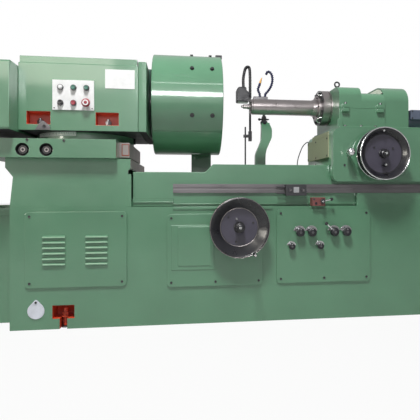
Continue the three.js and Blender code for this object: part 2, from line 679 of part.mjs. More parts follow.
function pullKnobBody() {
  const back = feedBox.front - pullKnob.standOff;
  return turned([
    [0, back - pullKnob.length], [pullKnob.radius * 2 / 3, back - pullKnob.length],
    [pullKnob.radius, back - pullKnob.length * 2 / 3], [pullKnob.radius, back - pullKnob.length / 3],
    [pullKnob.radius / 2, back], [pullKnob.stem, back], [pullKnob.stem, feedBox.front + pullKnob.stemDepth],
    [0, feedBox.front + pullKnob.stemDepth],
  ], 'y', [pullKnob.x, 0, pullKnob.z], smallSides);
}

const pullGroup = groupAt('push_pull_knob_joint', tableGroup, pullKnob.x, feedBox.front, pullKnob.z);
add(pullGroup, 'push_pull_knob', pullKnobBody(), chrome);

// Dished handwheel: rim forward, floor behind, hub and shaft; it faces the operator
function handwheel(size, mountY) {
  const back = mountY - size.standOff;
  const front = back - size.dish;
  const hubFront = back - size.hubLength;
  const rimMiddle = size.radius - size.rim;
  return turned([
    [0, hubFront], [size.hub * 3 / 4, hubFront], [size.hub, hubFront + size.rim], [size.hub, back - size.web],
    [size.floorRadius, back - size.web], [rimMiddle - size.web, front + size.rim], [rimMiddle, front],
    [size.radius, front + size.rim / 2], [size.radius, front + size.rim * 2],
    [size.floorRadius + size.web, back],
    [size.hub, back], [size.shaft, back], [size.shaft, mountY + size.shaftDepth],
    [0, mountY + size.shaftDepth],
  ], 'y', [size.x, 0, size.z], wheelSides);
}

function handle(size, mountY) {
  const floor = mountY - size.standOff - size.web;
  const front = floor - size.handleLength;
  return turned([
    [0, front], [size.handleRadius * 2 / 3, front], [size.handleRadius, front + size.handleLength / 4],
    [size.handleRadius * 2 / 3, floor - size.handleLength / 8], [size.handleRadius / 2, floor - gap],
    [0, floor - gap],
  ], 'y', [size.x + size.handleX, 0, size.z + size.handleZ], smallSides);
}

// Grip on the rim
function rimGrip(size, mountY) {
  const rimZ = size.z + size.handleZ;
  const rimX = size.x + size.handleX;
  const front = mountY - size.standOff - size.dish;
  return turned([
    [0, front - size.handleLength], [size.handleRadius * 2 / 3, front - size.handleLength],
    [size.handleRadius, front - size.handleLength * 3 / 4],
    [size.handleRadius * 2 / 3, front - size.handleLength / 8],
    [size.handleRadius / 2, front + overrun], [0, front + overrun],
  ], 'y', [rimX, 0, rimZ], smallSides);
}

const wheelSeat = -panel.thick;
const traverseGroup = groupAt('traverse_handwheel_joint', machine, traverseWheel.x, 0, traverseWheel.z);
add(traverseGroup, 'traverse_handwheel', join(
  handwheel(traverseWheel, wheelSeat),
  rod(traverseWheel.pinion, [traverseWheel.pinionStart,
    traverseWheel.pinionStart + traverseWheel.pinionLength],
    'y', [traverseWheel.x, 0, traverseWheel.z]),
  rimGrip(traverseWheel, wheelSeat)), blackPlastic);

const feedGroup = groupAt('feed_handwheel_joint', tableGroup, feedWheel.x, 0, feedWheel.z);
const collarBack = feedBox.front - feedWheel.collarGap;
add(feedGroup, 'feed_handwheel', join(
  handwheel(feedWheel, feedBox.front),
  rod(feedWheel.collar, [collarBack - feedWheel.collarThick, collarBack], 'y', [feedWheel.x, 0, feedWheel.z],
    wheelSides)), blackPlastic);
const feedGripGroup = groupAt('feed_handle_joint', feedGroup,
  feedWheel.x + feedWheel.handleX, 0, feedWheel.z + feedWheel.handleZ);
add(feedGripGroup, 'feed_handle', handle(feedWheel, feedBox.front), blackPlastic);

// Wheelhead
const headGroup = groupAt('wheelhead_joint', tableGroup, 0, 0, 0);
const partingZ = axisZ - wheelhead.partDrop;
const seatRadius = quill.spigot + gap;
const headBore = hole(seatRadius, [wheelhead.left - overrun, wheelhead.right + overrun], 'x',
  [0, axisY, axisZ]);

function wheelheadHousing() {
  const low = feedBox.high + gap;
  const slide = block([wheelhead.slideLeft, wheelhead.slideRight],
    [wheelhead.slideFront, wheelhead.slideRear],
    [low, wheelhead.slideTop]);
  const body = block([wheelhead.left, wheelhead.right], [wheelhead.front, wheelhead.rear],
    [wheelhead.slideTop - overrun, partingZ - gap / 2]);
  const hollow = block([wheelhead.cavityLeft, wheelhead.cavityRight],
    [wheelhead.front + wheelhead.wall, wheelhead.rear - wheelhead.wall],
    [low - overrun, wheelhead.cavityTop]);
  return cut(join(slide, body), headBore, hollow);
}

function wheelheadCap() {
  const tall = rounded([wheelhead.front, wheelhead.rear], [partingZ + gap / 2, wheelhead.top], 0,
    wheelhead.shoulder);
  const lower = rounded([wheelhead.front, wheelhead.rear],
    [partingZ + gap / 2, wheelhead.top - wheelhead.lowShoulderDrop], 0, wheelhead.shoulder);
  const arches = join(
    alongX(tall, wheelhead.left, wheelhead.lowShoulderX, archSides),
    alongX(lower, wheelhead.left + overrun, wheelhead.right, archSides));
  const stem = rod(wheelhead.eyeStem, [wheelhead.top - overrun, wheelhead.top + wheelhead.eyeRise], 'z',
    [wheelhead.eyeX, axisY, 0], smallSides);
  const eyeZ = wheelhead.top + wheelhead.eyeRise + wheelhead.eyeRadius;
  const eye = new THREE.TorusGeometry(wheelhead.eyeRadius, wheelhead.eyeWire, smallSides, turnSides)
    .rotateX(Math.PI / 2).translate(wheelhead.eyeX, axisY, eyeZ);
  return join(cut(arches, headBore), stem, eye);
}

function quillTube() {
  return turned([
    [quill.bore, quill.tip], [quill.collar, quill.tip], [quill.collar, quill.tip + quill.collarLength],
    [quill.radius, quill.tip + quill.collarLength], [quill.radius, quill.flangeLeft - quill.stepLength],
    [quill.step, quill.flangeLeft - quill.stepLength], [quill.step, quill.flangeLeft],
    [quill.flange, quill.flangeLeft], [quill.flange, wheelhead.left - gap],
    [quill.spigot, wheelhead.left - gap],
    [quill.spigot, quill.spigotRight], [quill.bore, quill.spigotRight], [quill.bore, quill.tip],
  ], 'x', [0, axisY, axisZ]);
}

function raceAt(x, race, width) {
  return ring(race.inner, race.outer, [x, x + width], 'x', [0, axisY, axisZ]);
}

add(headGroup, 'wheelhead_housing', wheelheadHousing(), paint);
add(headGroup, 'wheelhead_cap', wheelheadCap(), paint);
add(headGroup, 'quill', quillTube(), steel);
add(headGroup, 'spindle_bearing_front', raceAt(quill.tip + ballRace.inset, ballRace, ballRace.width), chrome);
add(headGroup, 'spindle_bearing_rear',
  raceAt(quill.spigotRight - ballRace.inset - ballRace.width, ballRace, ballRace.width), chrome);

const motorCentre = [0, wheelMotor.y, wheelMotor.z];

function beltCoverShell() {
  const left = wheelhead.right + gap;
  const low = wheelhead.slideTop + gap;
  const outer = alongX(rounded([beltCover.front, beltCover.rear], [low, beltCover.top], 0,
    beltCover.shoulder),
    left, beltCover.right, archSides);
  const inner = alongX(rounded([beltCover.front + beltCover.wall, beltCover.rear - beltCover.wall],
    [low - overrun, beltCover.top - beltCover.wall], 0, beltCover.shoulder - beltCover.wall),
  left - overrun, beltCover.right - beltCover.wall, archSides);
  const span = [beltCover.right - beltCover.wall - overrun, beltCover.right + overrun];
  return cut(outer, inner, hole(beltCover.shaftClear, span, 'x', [0, axisY, axisZ]),
    hole(beltCover.motorClear, span, 'x', motorCentre));
}

function wheelMotorBody() {
  const body = rod(wheelMotor.radius, [wheelMotor.left, wheelMotor.right], 'x', motorCentre);
  const footLow = wheelhead.slideTop + gap;
  const middle = (wheelMotor.left + wheelMotor.right) / 2;
  const footing = block([middle - wheelMotor.footLength / 2, middle + wheelMotor.footLength / 2],
    [wheelMotor.y - wheelMotor.footHalf, wheelMotor.y + wheelMotor.footHalf], [footLow, wheelMotor.z]);
  const boxLeft = wheelMotor.left + wheelMotor.boxInset;
  const box = block([boxLeft, boxLeft + wheelMotor.boxWidth],
    [wheelMotor.y - wheelMotor.radius - wheelMotor.boxProud, wheelMotor.y - wheelMotor.radius / 2],
    [wheelMotor.z + wheelMotor.boxLow, wheelMotor.z + wheelMotor.boxHigh]);
  const shaftRoom = hole(wheelMotor.shaft + gap,
    [wheelMotor.left - overrun, wheelMotor.right - wheelMotor.rotorInset], 'x', motorCentre, smallSides);
  return cut(join(body, footing, box), shaftRoom);
}

function motorPulley() {
  return join(
    rod(wheelMotor.shaft, [wheelShaft.pulleyLeft, wheelMotor.right - wheelMotor.rotorInset - gap], 'x',
      motorCentre,
      smallSides),
    rod(wheelMotor.pulley, [wheelShaft.pulleyLeft, wheelShaft.pulleyRight], 'x', motorCentre));
}

// A belt about two pulleys: the outer loop less the inner loop, each a hull of two circles
function beltLoop([y0, z0, r0], [y1, z1, r1], [x0, x1]) {
  const loop = (extra) => {
    const distance = Math.hypot(y1 - y0, z1 - z0);
    const along = Math.atan2(z1 - z0, y1 - y0);
    const lean = Math.acos((r0 - r1) / distance);
    const shape = new THREE.Shape();
    shape.absarc(y0, z0, r0 + extra, along + lean, along - lean + 2 * Math.PI);
    shape.absarc(y1, z1, r1 + extra, along - lean, along + lean);
    return shape;
  };
  return cut(alongX(loop(belt.clear + belt.thick), x0, x1, turnSides / 2),
    alongX(loop(belt.clear), x0 - overrun, x1 + overrun, turnSides / 2));
}

const headBeltMiddle = (wheelShaft.pulleyLeft + wheelShaft.pulleyRight) / 2;
add(headGroup, 'belt_cover', beltCoverShell(), paint);
add(headGroup, 'wheelhead_motor', wheelMotorBody(), bluePaint);
add(headGroup, 'wheelhead_belt', beltLoop([axisY, axisZ, wheelShaft.pulley],
  [wheelMotor.y, wheelMotor.z, wheelMotor.pulley],
  [headBeltMiddle - belt.width / 2, headBeltMiddle + belt.width / 2]), rubber);

const wheelSpindleGroup = groupAt('grinding_spindle_joint', headGroup, 0, axisY, axisZ);
const wheelSpindle = turned([
  [0, wheelShaft.arborTip], [wheelShaft.groove, wheelShaft.arborTip],
  [wheelShaft.groove, wheelShaft.arborTip + wheelShaft.grooveLength],
  [wheelShaft.arbor, wheelShaft.arborTip + wheelShaft.grooveLength * 2],
  [wheelShaft.arbor, quill.tip - gap], [wheelShaft.radius, quill.tip - gap],
  [wheelShaft.radius, wheelShaft.pulleyLeft], [wheelShaft.pulley, wheelShaft.pulleyLeft],
  [wheelShaft.pulley, wheelShaft.pulleyRight], [wheelShaft.radius, wheelShaft.pulleyRight],
  [wheelShaft.radius, wheelShaft.right], [wheelShaft.knob, wheelShaft.right],
  [wheelShaft.knob, wheelShaft.right + wheelShaft.knobLength], [0, wheelShaft.right + wheelShaft.knobLength],
], 'x', [0, axisY, axisZ]);
add(wheelSpindleGroup, 'grinding_spindle', wheelSpindle, steel);
const headPulleyGroup = groupAt('wheelhead_pulley_joint', headGroup, 0, wheelMotor.y, wheelMotor.z);
add(headPulleyGroup, 'wheelhead_motor_pulley', motorPulley(), steel);

// Workhead cross slide with two socket bolts
const slideGroup = groupAt('workhead_slide_joint', machine, 0, 0, 0);
const boltPlaces = [crossSlide.boltX, crossSlide.boltX + crossSlide.boltPitch];

function crossSlideBody() {
  const low = bridge.top + gap;
  const base = block([crossSlide.left, crossSlide.right], [crossSlide.front, crossSlide.rear],
    [low, crossSlide.top]);
  const bores = boltPlaces.map((x) => hole(crossSlide.boreRadius,
    [crossSlide.front - overrun, crossSlide.front + crossSlide.boreDepth], 'y', [x, 0, crossSlide.boreZ]));
  const seat = crossSlide.front + crossSlide.boreDepth - gap;
  const bolts = boltPlaces.map((x) => rod(crossSlide.boltRadius,
    [seat - crossSlide.boltLength, seat + overrun],
    'y', [x, 0, crossSlide.boreZ], smallSides));
  return join(cut(base, ...bores), ...bolts);
}

add(slideGroup, 'workhead_cross_slide', crossSlideBody(), paint);

const swivelGroup = groupAt('workhead_joint', slideGroup, workhead.pivotX, workhead.pivotY, 0);
const windowPlaces = [workhead.windowLeft, workhead.windowRight];

function workheadHousing() {
  const base = rod(workhead.swivelRadius, [crossSlide.top + gap, workhead.low + overrun], 'z',
    [workhead.pivotX, workhead.pivotY, 0], wheelSides);
  const body = block([workhead.left, workhead.right], [workhead.front, workhead.rear],
    [workhead.low, workhead.top - workhead.lidStep]);
  const lid = block([workhead.left + workhead.lidInset, workhead.right - workhead.lidInset],
    [workhead.front + workhead.lidInset, workhead.rear - workhead.lidInset],
    [workhead.top - workhead.lidStep - overrun, workhead.top]);
  const deep = [workhead.front + workhead.frontWall, workhead.rear - workhead.frontWall];
  const high = [workhead.low + workhead.floor, workhead.top - workhead.lidStep - workhead.roof];
  const leftCell = block([workhead.left + workhead.wall, workhead.ribLeft], deep, high);
  const rightCell = block([workhead.ribRight, workhead.right - workhead.wall], deep, high);
  const bosses = windowPlaces.map((x) => block(
    [x - workhead.windowWall, x + workhead.windowWidth + workhead.windowWall],
    [workhead.front + overrun, workhead.front + workhead.windowDepth + workhead.windowWall],
    [workhead.windowLow - workhead.windowWall, workhead.windowHigh + workhead.windowWall]));
  const windows = windowPlaces.map((x) => block([x, x + workhead.windowWidth],
    [workhead.front - overrun, workhead.front + workhead.windowDepth],
    [workhead.windowLow, workhead.windowHigh]));
  const noseRight = workhead.right + workhead.noseLength;
  const nose = rod(workhead.noseRadius, [workhead.right - overrun, noseRight], 'x', [0, axisY, axisZ],
    wheelSides);
  const journal = hole(workhead.journalBore, [workhead.left - overrun, noseRight + overrun], 'x',
    [0, axisY, axisZ]);
  const leftWall = [workhead.left - overrun, workhead.left + workhead.wall + overrun];
  const motorHole = hole(workMotor.shaftClear, leftWall, 'x', [0, workMotor.y, workMotor.z], smallSides);
  const cellMiddles = [(workhead.left + workhead.wall + workhead.ribLeft) / 2,
    (workhead.ribRight + workhead.right - workhead.wall) / 2];
  const cableHoles = cellMiddles.map((x) => hole(workhead.cableHole,
    [crossSlide.top - overrun, workhead.low + workhead.floor + overrun], 'z', [x, workhead.pivotY, 0],
    smallSides));
  const hollow = cut(join(base, body, lid, nose), leftCell, rightCell, ...cableHoles);
  return cut(join(hollow, ...bosses), ...windows, journal, motorHole);
}

add(swivelGroup, 'workhead_housing', workheadHousing(), paint);

// The end box stands further forward than the housing, and its right side is closed there
function endBoxShell() {
  const right = workhead.left - gap;
  const outer = alongX(rounded([endBox.front, endBox.rear], [endBox.low, endBox.high], endBox.radius),
    endBox.left, right);
  const left = endBox.left + endBox.wall;
  const high = [endBox.low + endBox.wall, endBox.high - endBox.wall];
  const bay = workhead.front + endBox.wall;
  const inner = block([left, right + overrun], [bay, endBox.rear - endBox.wall], high);
  const ahead = block([left, right - endBox.wall], [endBox.front + endBox.wall, bay + overrun], high);
  return cut(outer, inner, ahead);
}

add(swivelGroup, 'workhead_end_box', endBoxShell(), paint);

// Push buttons
const buttonRows = { upper: button.upperZ, lower: button.lowerZ };
const buttons = [
  ['green_button_left', 1, buttonRows.upper, greenPlastic],
  ['green_button_right', 2, buttonRows.upper, greenPlastic],
  ['black_button', 0, buttonRows.lower, blackPlastic],
  ['red_button', 1, buttonRows.lower, redPlastic], ['stop_mushroom', 2, buttonRows.lower, redPlastic],
];
const buttonX = (column) => button.columnX + column * button.pitchX;
const plateFront = workhead.front - gap - buttonPlate.thick;

function buttonPlateBody() {
  const sheet = block([buttonPlate.left, buttonPlate.right], [plateFront, workhead.front - gap],
    [buttonPlate.low, buttonPlate.high]);
  const bezels = buttons.map(([, column, z]) => rod(button.bezel,
    [plateFront - button.bezelLength, plateFront + buttonPlate.thick / 2], 'y', [buttonX(column), 0, z],
    smallSides));
  const lampBase = rod(button.bezel, [plateFront - button.bezelLength, plateFront + buttonPlate.thick / 2],
    'y',
    [buttonX(0), 0, button.upperZ], smallSides);
  const lens = rod(button.cap, [plateFront - button.bezelLength - button.capLength, plateFront], 'y',
    [buttonX(0), 0, button.upperZ], smallSides);
  const bores = buttons.map(([, column, z]) => hole(button.cap + button.clear,
    [plateFront - button.bezelLength - overrun, plateFront + buttonPlate.thick / 2], 'y',
    [buttonX(column), 0, z],
    smallSides));
  return cut(join(sheet, ...bezels, lampBase, lens), ...bores);
}

add(swivelGroup, 'button_plate', buttonPlateBody(), whitePlate);

function buttonBody(name, column, z) {
  const bezelFront = plateFront - button.bezelLength;
  const seat = plateFront + buttonPlate.thick / 2 - button.travelRoom - gap;
  const centre = [buttonX(column), 0, z];
  if (name !== 'stop_mushroom') {
    return rod(button.cap, [bezelFront - button.capLength, seat], 'y', centre, smallSides);
  }
  const back = bezelFront - button.travelRoom - gap;
  return turned([
    [0, back - button.mushroomLength], [button.mushroom * 3 / 4, back - button.mushroomLength],
    [button.mushroom, back - button.mushroomLength / 2], [button.mushroom, back], [button.cap, back],
    [button.cap, seat], [0, seat],
  ], 'y', centre, smallSides);
}

for (const [name, column, z, material] of buttons) {
  const group = groupAt(`${name}_joint`, swivelGroup, buttonX(column), plateFront, z);
  add(group, name, buttonBody(name, column, z), material);
}

// Workhead bearings, motor, spindle, chuck and jaws
add(swivelGroup, 'workhead_bearing_rear', raceAt(workhead.left, workRace, workhead.wall), chrome);
add(swivelGroup, 'workhead_bearing_front', raceAt(workhead.right - workhead.wall, workRace, workhead.wall),
  chrome);

const workMotorCentre = [0, workMotor.y, workMotor.z];
const workMotorLeft = workhead.left + workhead.wall + gap;

function workMotorBody() {
  const body = rod(workMotor.radius, [workMotorLeft, workMotor.right], 'x', workMotorCentre);
  const room = hole(workMotor.shaft + gap,
    [workMotorLeft - overrun, workMotor.right - workMotor.bossLength], 'x',
    workMotorCentre, smallSides);
  return cut(body, room);
}

add(swivelGroup, 'workhead_motor', workMotorBody(), darkSteel);
const workBeltMiddle = (workSpindle.pulleyLeft + workSpindle.pulleyRight) / 2;
add(swivelGroup, 'workhead_belt', beltLoop([axisY, axisZ, workSpindle.pulley],
  [workMotor.y, workMotor.z, workMotor.pulley],
  [workBeltMiddle - belt.width / 2, workBeltMiddle + belt.width / 2]), rubber);

const spindleGroup = groupAt('work_spindle_joint', swivelGroup, 0, axisY, axisZ);
const spindleShape = turned([
  [0, workSpindle.left], [workSpindle.tail, workSpindle.left], [workSpindle.tail, workSpindle.pulleyLeft],
  [workSpindle.pulley, workSpindle.pulleyLeft], [workSpindle.pulley, workSpindle.pulleyRight],
  [workSpindle.tail, workSpindle.pulleyRight], [workSpindle.tail, workhead.left - workhead.wall / 2],
  [workSpindle.radius, workhead.left - workhead.wall / 2], [workSpindle.radius, workSpindle.noseLeft],
  [workSpindle.nose, workSpindle.noseLeft], [workSpindle.nose, workSpindle.pilotLeft],
  [workSpindle.nosePilot, workSpindle.pilotLeft], [workSpindle.nosePilot, workSpindle.right],
  [0, workSpindle.right],
], 'x', [0, axisY, axisZ]);
add(spindleGroup, 'work_spindle', spindleShape, steel);
const chuckLeft = workSpindle.right + gap;
add(spindleGroup, 'chuck_body', turned([
  [0, chuckLeft], [chuck.radius - chuck.rimChamfer, chuckLeft], [chuck.radius, chuckLeft + chuck.rimChamfer],
  [chuck.radius, chuck.right - chuck.rimChamfer], [chuck.radius - chuck.rimChamfer, chuck.right],
  [0, chuck.right],
], 'x', [0, axisY, axisZ], wheelSides), steel);

function jaw() {
  const left = chuck.right + gap;
  const profile = outline([
    [left, chuck.jawInner], [left + chuck.jawHeight, chuck.jawInner],
    [left + chuck.jawHeight, chuck.jawInner + chuck.jawStep],
    [left + chuck.jawHeight * 2 / 3, chuck.jawInner + chuck.jawStep],
    [left + chuck.jawHeight * 2 / 3, chuck.jawStepRadius], [left + chuck.jawHeight / 3, chuck.jawStepRadius],
    [left + chuck.jawHeight / 3, chuck.jawOuter], [left, chuck.jawOuter],
  ]);
  return alongY(profile, -chuck.jawHalf, chuck.jawHalf);
}

for (let i = 0; i < jawCount; i += 1) {
  const group = groupAt(`jaw_${i + 1}_joint`, spindleGroup, 0, axisY, axisZ);
  const shape = jaw().rotateX((i * 2 * Math.PI) / jawCount).translate(0, axisY, axisZ);
  add(group, `chuck_jaw_${i + 1}`, shape, steel);
}
const workPulleyGroup = groupAt('workhead_pulley_joint', swivelGroup, 0, workMotor.y, workMotor.z);
add(workPulleyGroup, 'workhead_motor_pulley', join(
  rod(workMotor.shaft, [workSpindle.pulleyLeft, workMotor.right - workMotor.bossLength - gap], 'x',
    workMotorCentre,
    smallSides),
  rod(workMotor.pulley, [workSpindle.pulleyLeft, workSpindle.pulleyRight], 'x', workMotorCentre)), steel);

// Chuck guard: one drum cut by the seam plane, its centre a little under the spindle
const drumZ = axisZ - drum.drop;
const hingeRadius = drum.radius + drum.hinge - drum.hingeSink;
const seam = {
  front: [axisY - Math.sqrt(drum.radius ** 2 - drum.seamDrop ** 2), drumZ - drum.seamDrop],
  hinge: [axisY + Math.sqrt(hingeRadius ** 2 - drum.hingeRise ** 2), drumZ + drum.hingeRise],
};

function drumShell() {
  return turned([
    [drum.leftHole, drum.left], [drum.radius, drum.left], [drum.radius, drum.right],
    [drum.rightHole, drum.right], [drum.rightHole, drum.right - drum.wall],
    [drum.radius - drum.wall, drum.right - drum.wall], [drum.radius - drum.wall, drum.left + drum.wall],
    [drum.leftHole, drum.left + drum.wall], [drum.leftHole, drum.left],
  ], 'x', [0, axisY, drumZ], drum.sides);
}

// Half space above the seam, as a box turned to the slope of the seam
function aboveSeam(offset) {
  const reach = drum.radius * 4;
  const slope = Math.atan2(seam.hinge[1] - seam.front[1], seam.hinge[0] - seam.front[0]);
  return block([drum.left - reach, drum.right + reach], [-reach, reach], [offset, reach])
    .rotateX(slope).translate(0, seam.hinge[0], seam.hinge[1]);
}

const hingeCentre = [0, ...seam.hinge];
const knuckle = (from, to, radius = drum.hinge) => rod(radius, [from, to], 'x', hingeCentre, smallSides);
const endKnuckles = [
  [drum.endLeft, drum.coverLeft - drum.knuckleClear], [drum.coverRight + drum.knuckleClear, drum.endRight]];

function guardCover() {
  const half = common(drumShell(), aboveSeam(gap / 2));
  const room = endKnuckles.map(([from, to]) => knuckle(
    from - drum.knuckleClear, to + drum.knuckleClear / 2, drum.hinge + drum.knuckleClear));
  const barrel = knuckle(drum.coverLeft, drum.coverRight);
  const bore = knuckle(drum.coverLeft - overrun, drum.coverRight + overrun, drum.pinClear);
  return cut(join(cut(half, ...room), barrel), bore);
}

function guardTrough() {
  const drumOuter = rod(drum.radius - drum.wall / 2, [drum.left - overrun, drum.right + overrun], 'x',
    [0, axisY, drumZ], drum.sides);
  const half = cut(drumShell(), aboveSeam(-gap / 2));
  const column = block([post.left, post.right], [post.front, post.rear], [bed.ledgeHeight + gap, drumZ]);
  const pad = block([post.left - post.padProud, post.right + post.padProud],
    [post.front, post.rear + post.padProud], [bed.ledgeHeight + gap, bed.ledgeHeight + post.padHeight]);
  const ends = endKnuckles.map(([from, to]) => knuckle(from, to));
  const pin = knuckle(drum.endLeft, drum.endRight, drum.hingePin);
  const room = knuckle(drum.coverLeft - drum.knuckleClear / 2, drum.coverRight + drum.knuckleClear / 2,
    drum.hinge + drum.knuckleClear);
  return join(cut(join(half, cut(join(column, pad), drumOuter)), room), ...ends, pin);
}

add(machine, 'guard_trough', guardTrough(), paint);
const coverGroup = groupAt('guard_cover_joint', machine, ...hingeCentre);
add(coverGroup, 'guard_cover', guardCover(), paint);

// Work lamp on its stand
function lampStand() {
  return join(
    block([lamp.baseLeft, lamp.baseRight], [standY - lamp.baseHalf, standY + lamp.baseHalf],
      [bed.ledgeHeight + gap, bed.ledgeHeight + lamp.baseHeight]),
    rod(lamp.rodRadius, [bed.ledgeHeight + lamp.baseHeight - overrun, lamp.rodTop], 'z',
      [lamp.rodX, standY, 0],
      smallSides),
    block([lamp.rodX - lamp.clampHalf, lamp.barRight], [standY - lamp.clampHalf, standY + lamp.clampHalf],
      [lamp.clampLow, lamp.clampLow + lamp.clampHeight]),
    block([lamp.barLeft, lamp.barRight], [standY - lamp.rodRadius, standY + lamp.rodRadius],
      [lamp.barLow, lamp.barTop]),
    block([lamp.barLeft - lamp.sleeveProud, lamp.barRight + lamp.sleeveProud],
      [standY - lamp.rodRadius - lamp.sleeveProud, standY + lamp.rodRadius + lamp.sleeveProud],
      [lamp.barLow, lamp.barLow + lamp.sleeveHeight]));
}

function tube(radius, points, steps, sides = tubeSides) {
  const section = new THREE.Shape();
  for (let i = 0; i < sides; i += 1) {
    const angle = (i * 2 * Math.PI) / sides;
    const place = [radius * Math.cos(angle), radius * Math.sin(angle)];
    if (i === 0) section.moveTo(...place);
    else section.lineTo(...place);
  }
  section.closePath();
  const path = new THREE.CatmullRomCurve3(points.map(([x, z]) => new THREE.Vector3(x, standY, z)));
  return new THREE.ExtrudeGeometry(section, { steps, extrudePath: path, bevelEnabled: false });
}

function lampHeadBody() {
  const shape = outline([
    [lampHead.left, lampHead.low], [lampHead.right, lampHead.low],
    [lampHead.right, lampHead.shoulder - lampHead.corner],
    [lampHead.right - lampHead.corner * 2, lampHead.shoulder],
    [lampNeck.endX + lamp.neckRadius * 2, lampHead.high],
    [lampHead.left + lampHead.corner, lampHead.high], [lampHead.left, lampHead.high - lampHead.corner],
  ]);
  const half = lamp.headThick / 2;
  return alongY(shape, standY - half, standY + half);
}

const neckRoute = [
  [lampNeck.startX, lampNeck.startZ], [lampNeck.startX, lampNeck.startZ + lampNeck.bulge * 2],
  [lampNeck.startX - gap, (lampNeck.startZ + lampNeck.crestZ * 2) / 3],
  [lampNeck.crestX + lampNeck.bulge / 2, lampNeck.crestZ - lampNeck.bulge / 4],
  [lampNeck.crestX - lampNeck.bulge, lampNeck.crestZ - lampNeck.bulge / 2],
  [lampNeck.endX, (lampNeck.endZ * 2 + lampNeck.crestZ) / 3 + lampNeck.bulge], [lampNeck.endX, lampNeck.endZ],
  [lampNeck.endX, lampHead.high - overrun],
];
const lampNeckTube = tube(lamp.neckRadius, neckRoute, neckSteps);
add(machine, 'work_lamp', join(lampStand(), lampNeckTube, lampHeadBody()), blackPlastic);

// Curved coolant bracket, cock and manifold
function bracketBody() {
  const shape = outline([
    [bracket.baseLeft, bed.ledgeHeight + gap], [bracket.baseRight, bed.ledgeHeight + gap],
    [bracket.baseRight, bracket.bendLow + bracket.half], [bracket.topRight, bracket.bendHigh],
    [bracket.topRight, bracket.straightTop], [bracket.neckRight, bracket.top],
    [bracket.neckLeft, bracket.top],
    [bracket.topLeft, bracket.straightTop], [bracket.topLeft, bracket.bendHigh - bracket.half],
    [bracket.baseLeft, bracket.bendLow],
  ]);
  const flange = block([bracket.baseLeft - bracket.flangeProud / 2, bracket.baseRight + bracket.flangeProud],
    [standY - bracket.half - bracket.flangeProud, standY + bracket.half + bracket.flangeProud],
    [bed.ledgeHeight + gap, bed.ledgeHeight + bracket.flangeHeight]);
  return join(alongY(shape, standY - bracket.half, standY + bracket.half), flange);
}

function manifoldBody() {
  const cock = block([manifold.cockLeft, manifold.cockRight],
    [standY - manifold.cockHalf, standY + manifold.cockHalf], [bracket.top - overrun, manifold.cockTop]);
  const pipe = rod(manifold.pipeRadius, [manifold.cockTop - overrun, manifold.barLow + overrun], 'z',
    [manifold.pipeX, standY, 0], smallSides);
  const bar = block([manifold.barLeft, manifold.barRight],
    [standY - manifold.barHalf, standY + manifold.barHalf],
    [manifold.barLow, manifold.barTop]);
  return join(cock, pipe, bar);
}

add(machine, 'coolant_bracket', join(bracketBody(), manifoldBody()), paint);

// Ribbed coolant hose: rings of points in pairs, crest and valley, about a bore open at both ends
const boreEvery = 5;

function ribbedHose(points) {
  const path = new THREE.CatmullRomCurve3(points.map(([x, z]) => new THREE.Vector3(x, standY, z)));
  const ribs = Math.max(2, Math.round(path.getLength() / hose.pitch));
  const across = new THREE.Vector3(0, 1, 0);
  const positions = [];
  const ringAt = (share, radius) => {
    const centre = path.getPointAt(share);
    const side = new THREE.Vector3().crossVectors(path.getTangentAt(share), across).normalize();
    const first = positions.length / 3;
    for (let i = 0; i < tubeSides; i += 1) {
      const angle = (i * 2 * Math.PI) / tubeSides;
      const point = centre.clone().addScaledVector(across, radius * Math.cos(angle))
        .addScaledVector(side, radius * Math.sin(angle));
      positions.push(point.x, point.y, point.z);
    }
    return first;
  };
  const outer = [];
  for (let i = 0; i < ribs; i += 1) {
    outer.push(ringAt(i / ribs, hose.valley), ringAt((i + 1 / 2) / ribs, hose.radius));
  }
  outer.push(ringAt(1, hose.valley));
  const inner = [];
  for (let i = 0; i < ribs; i += boreEvery) inner.push(ringAt(i / ribs, hose.bore));
  inner.push(ringAt(1, hose.bore));
  const rings = [...outer, ...inner.reverse(), outer[0]];
  const index = [];
  for (let k = 0; k + 1 < rings.length; k += 1) {
    for (let i = 0; i < tubeSides; i += 1) {
      const next = (i + 1) % tubeSides;
      const [a, b, c, d] = [rings[k] + i, rings[k] + next, rings[k + 1] + next, rings[k + 1] + i];
      index.push(a, b, c, a, c, d);
    }
  }
  const geometry = new THREE.BufferGeometry();
  geometry.setAttribute('position', new THREE.Float32BufferAttribute(positions, 3));
  geometry.setIndex(index);
  return closed(geometry);
}

const hoseFoot = manifold.barTop + gap;
const hoseWidth = hose.radius * 2;
const leftRoute = [
  [hose.leftX, hoseFoot], [hose.leftX, hoseFoot + hoseWidth], ...hose.leftBends, hose.leftTip];
const rightRoute = [
  [hose.rightX, hoseFoot], [hose.rightX, hoseFoot + hoseWidth], ...hose.rightBends, hose.rightTip];

function nozzleBody() {
  const [[x0, z0], [x1, z1]] = leftRoute.slice(-2);
  const lean = Math.atan2(x1 - x0, z1 - z0);
  return ring(hose.bore, nozzle.radius, [-overrun, nozzle.length], 'z', [0, 0, 0], smallSides)
    .rotateY(lean).translate(x1, standY, z1);
}

add(machine, 'left_coolant_hose', join(ribbedHose(leftRoute), nozzleBody()), bluePlastic);
add(machine, 'right_coolant_hose', ribbedHose(rightRoute), bluePlastic);

// Coolant tank with its tray, pushed up to the bed
const tankRight = -tank.trayProud - gap;

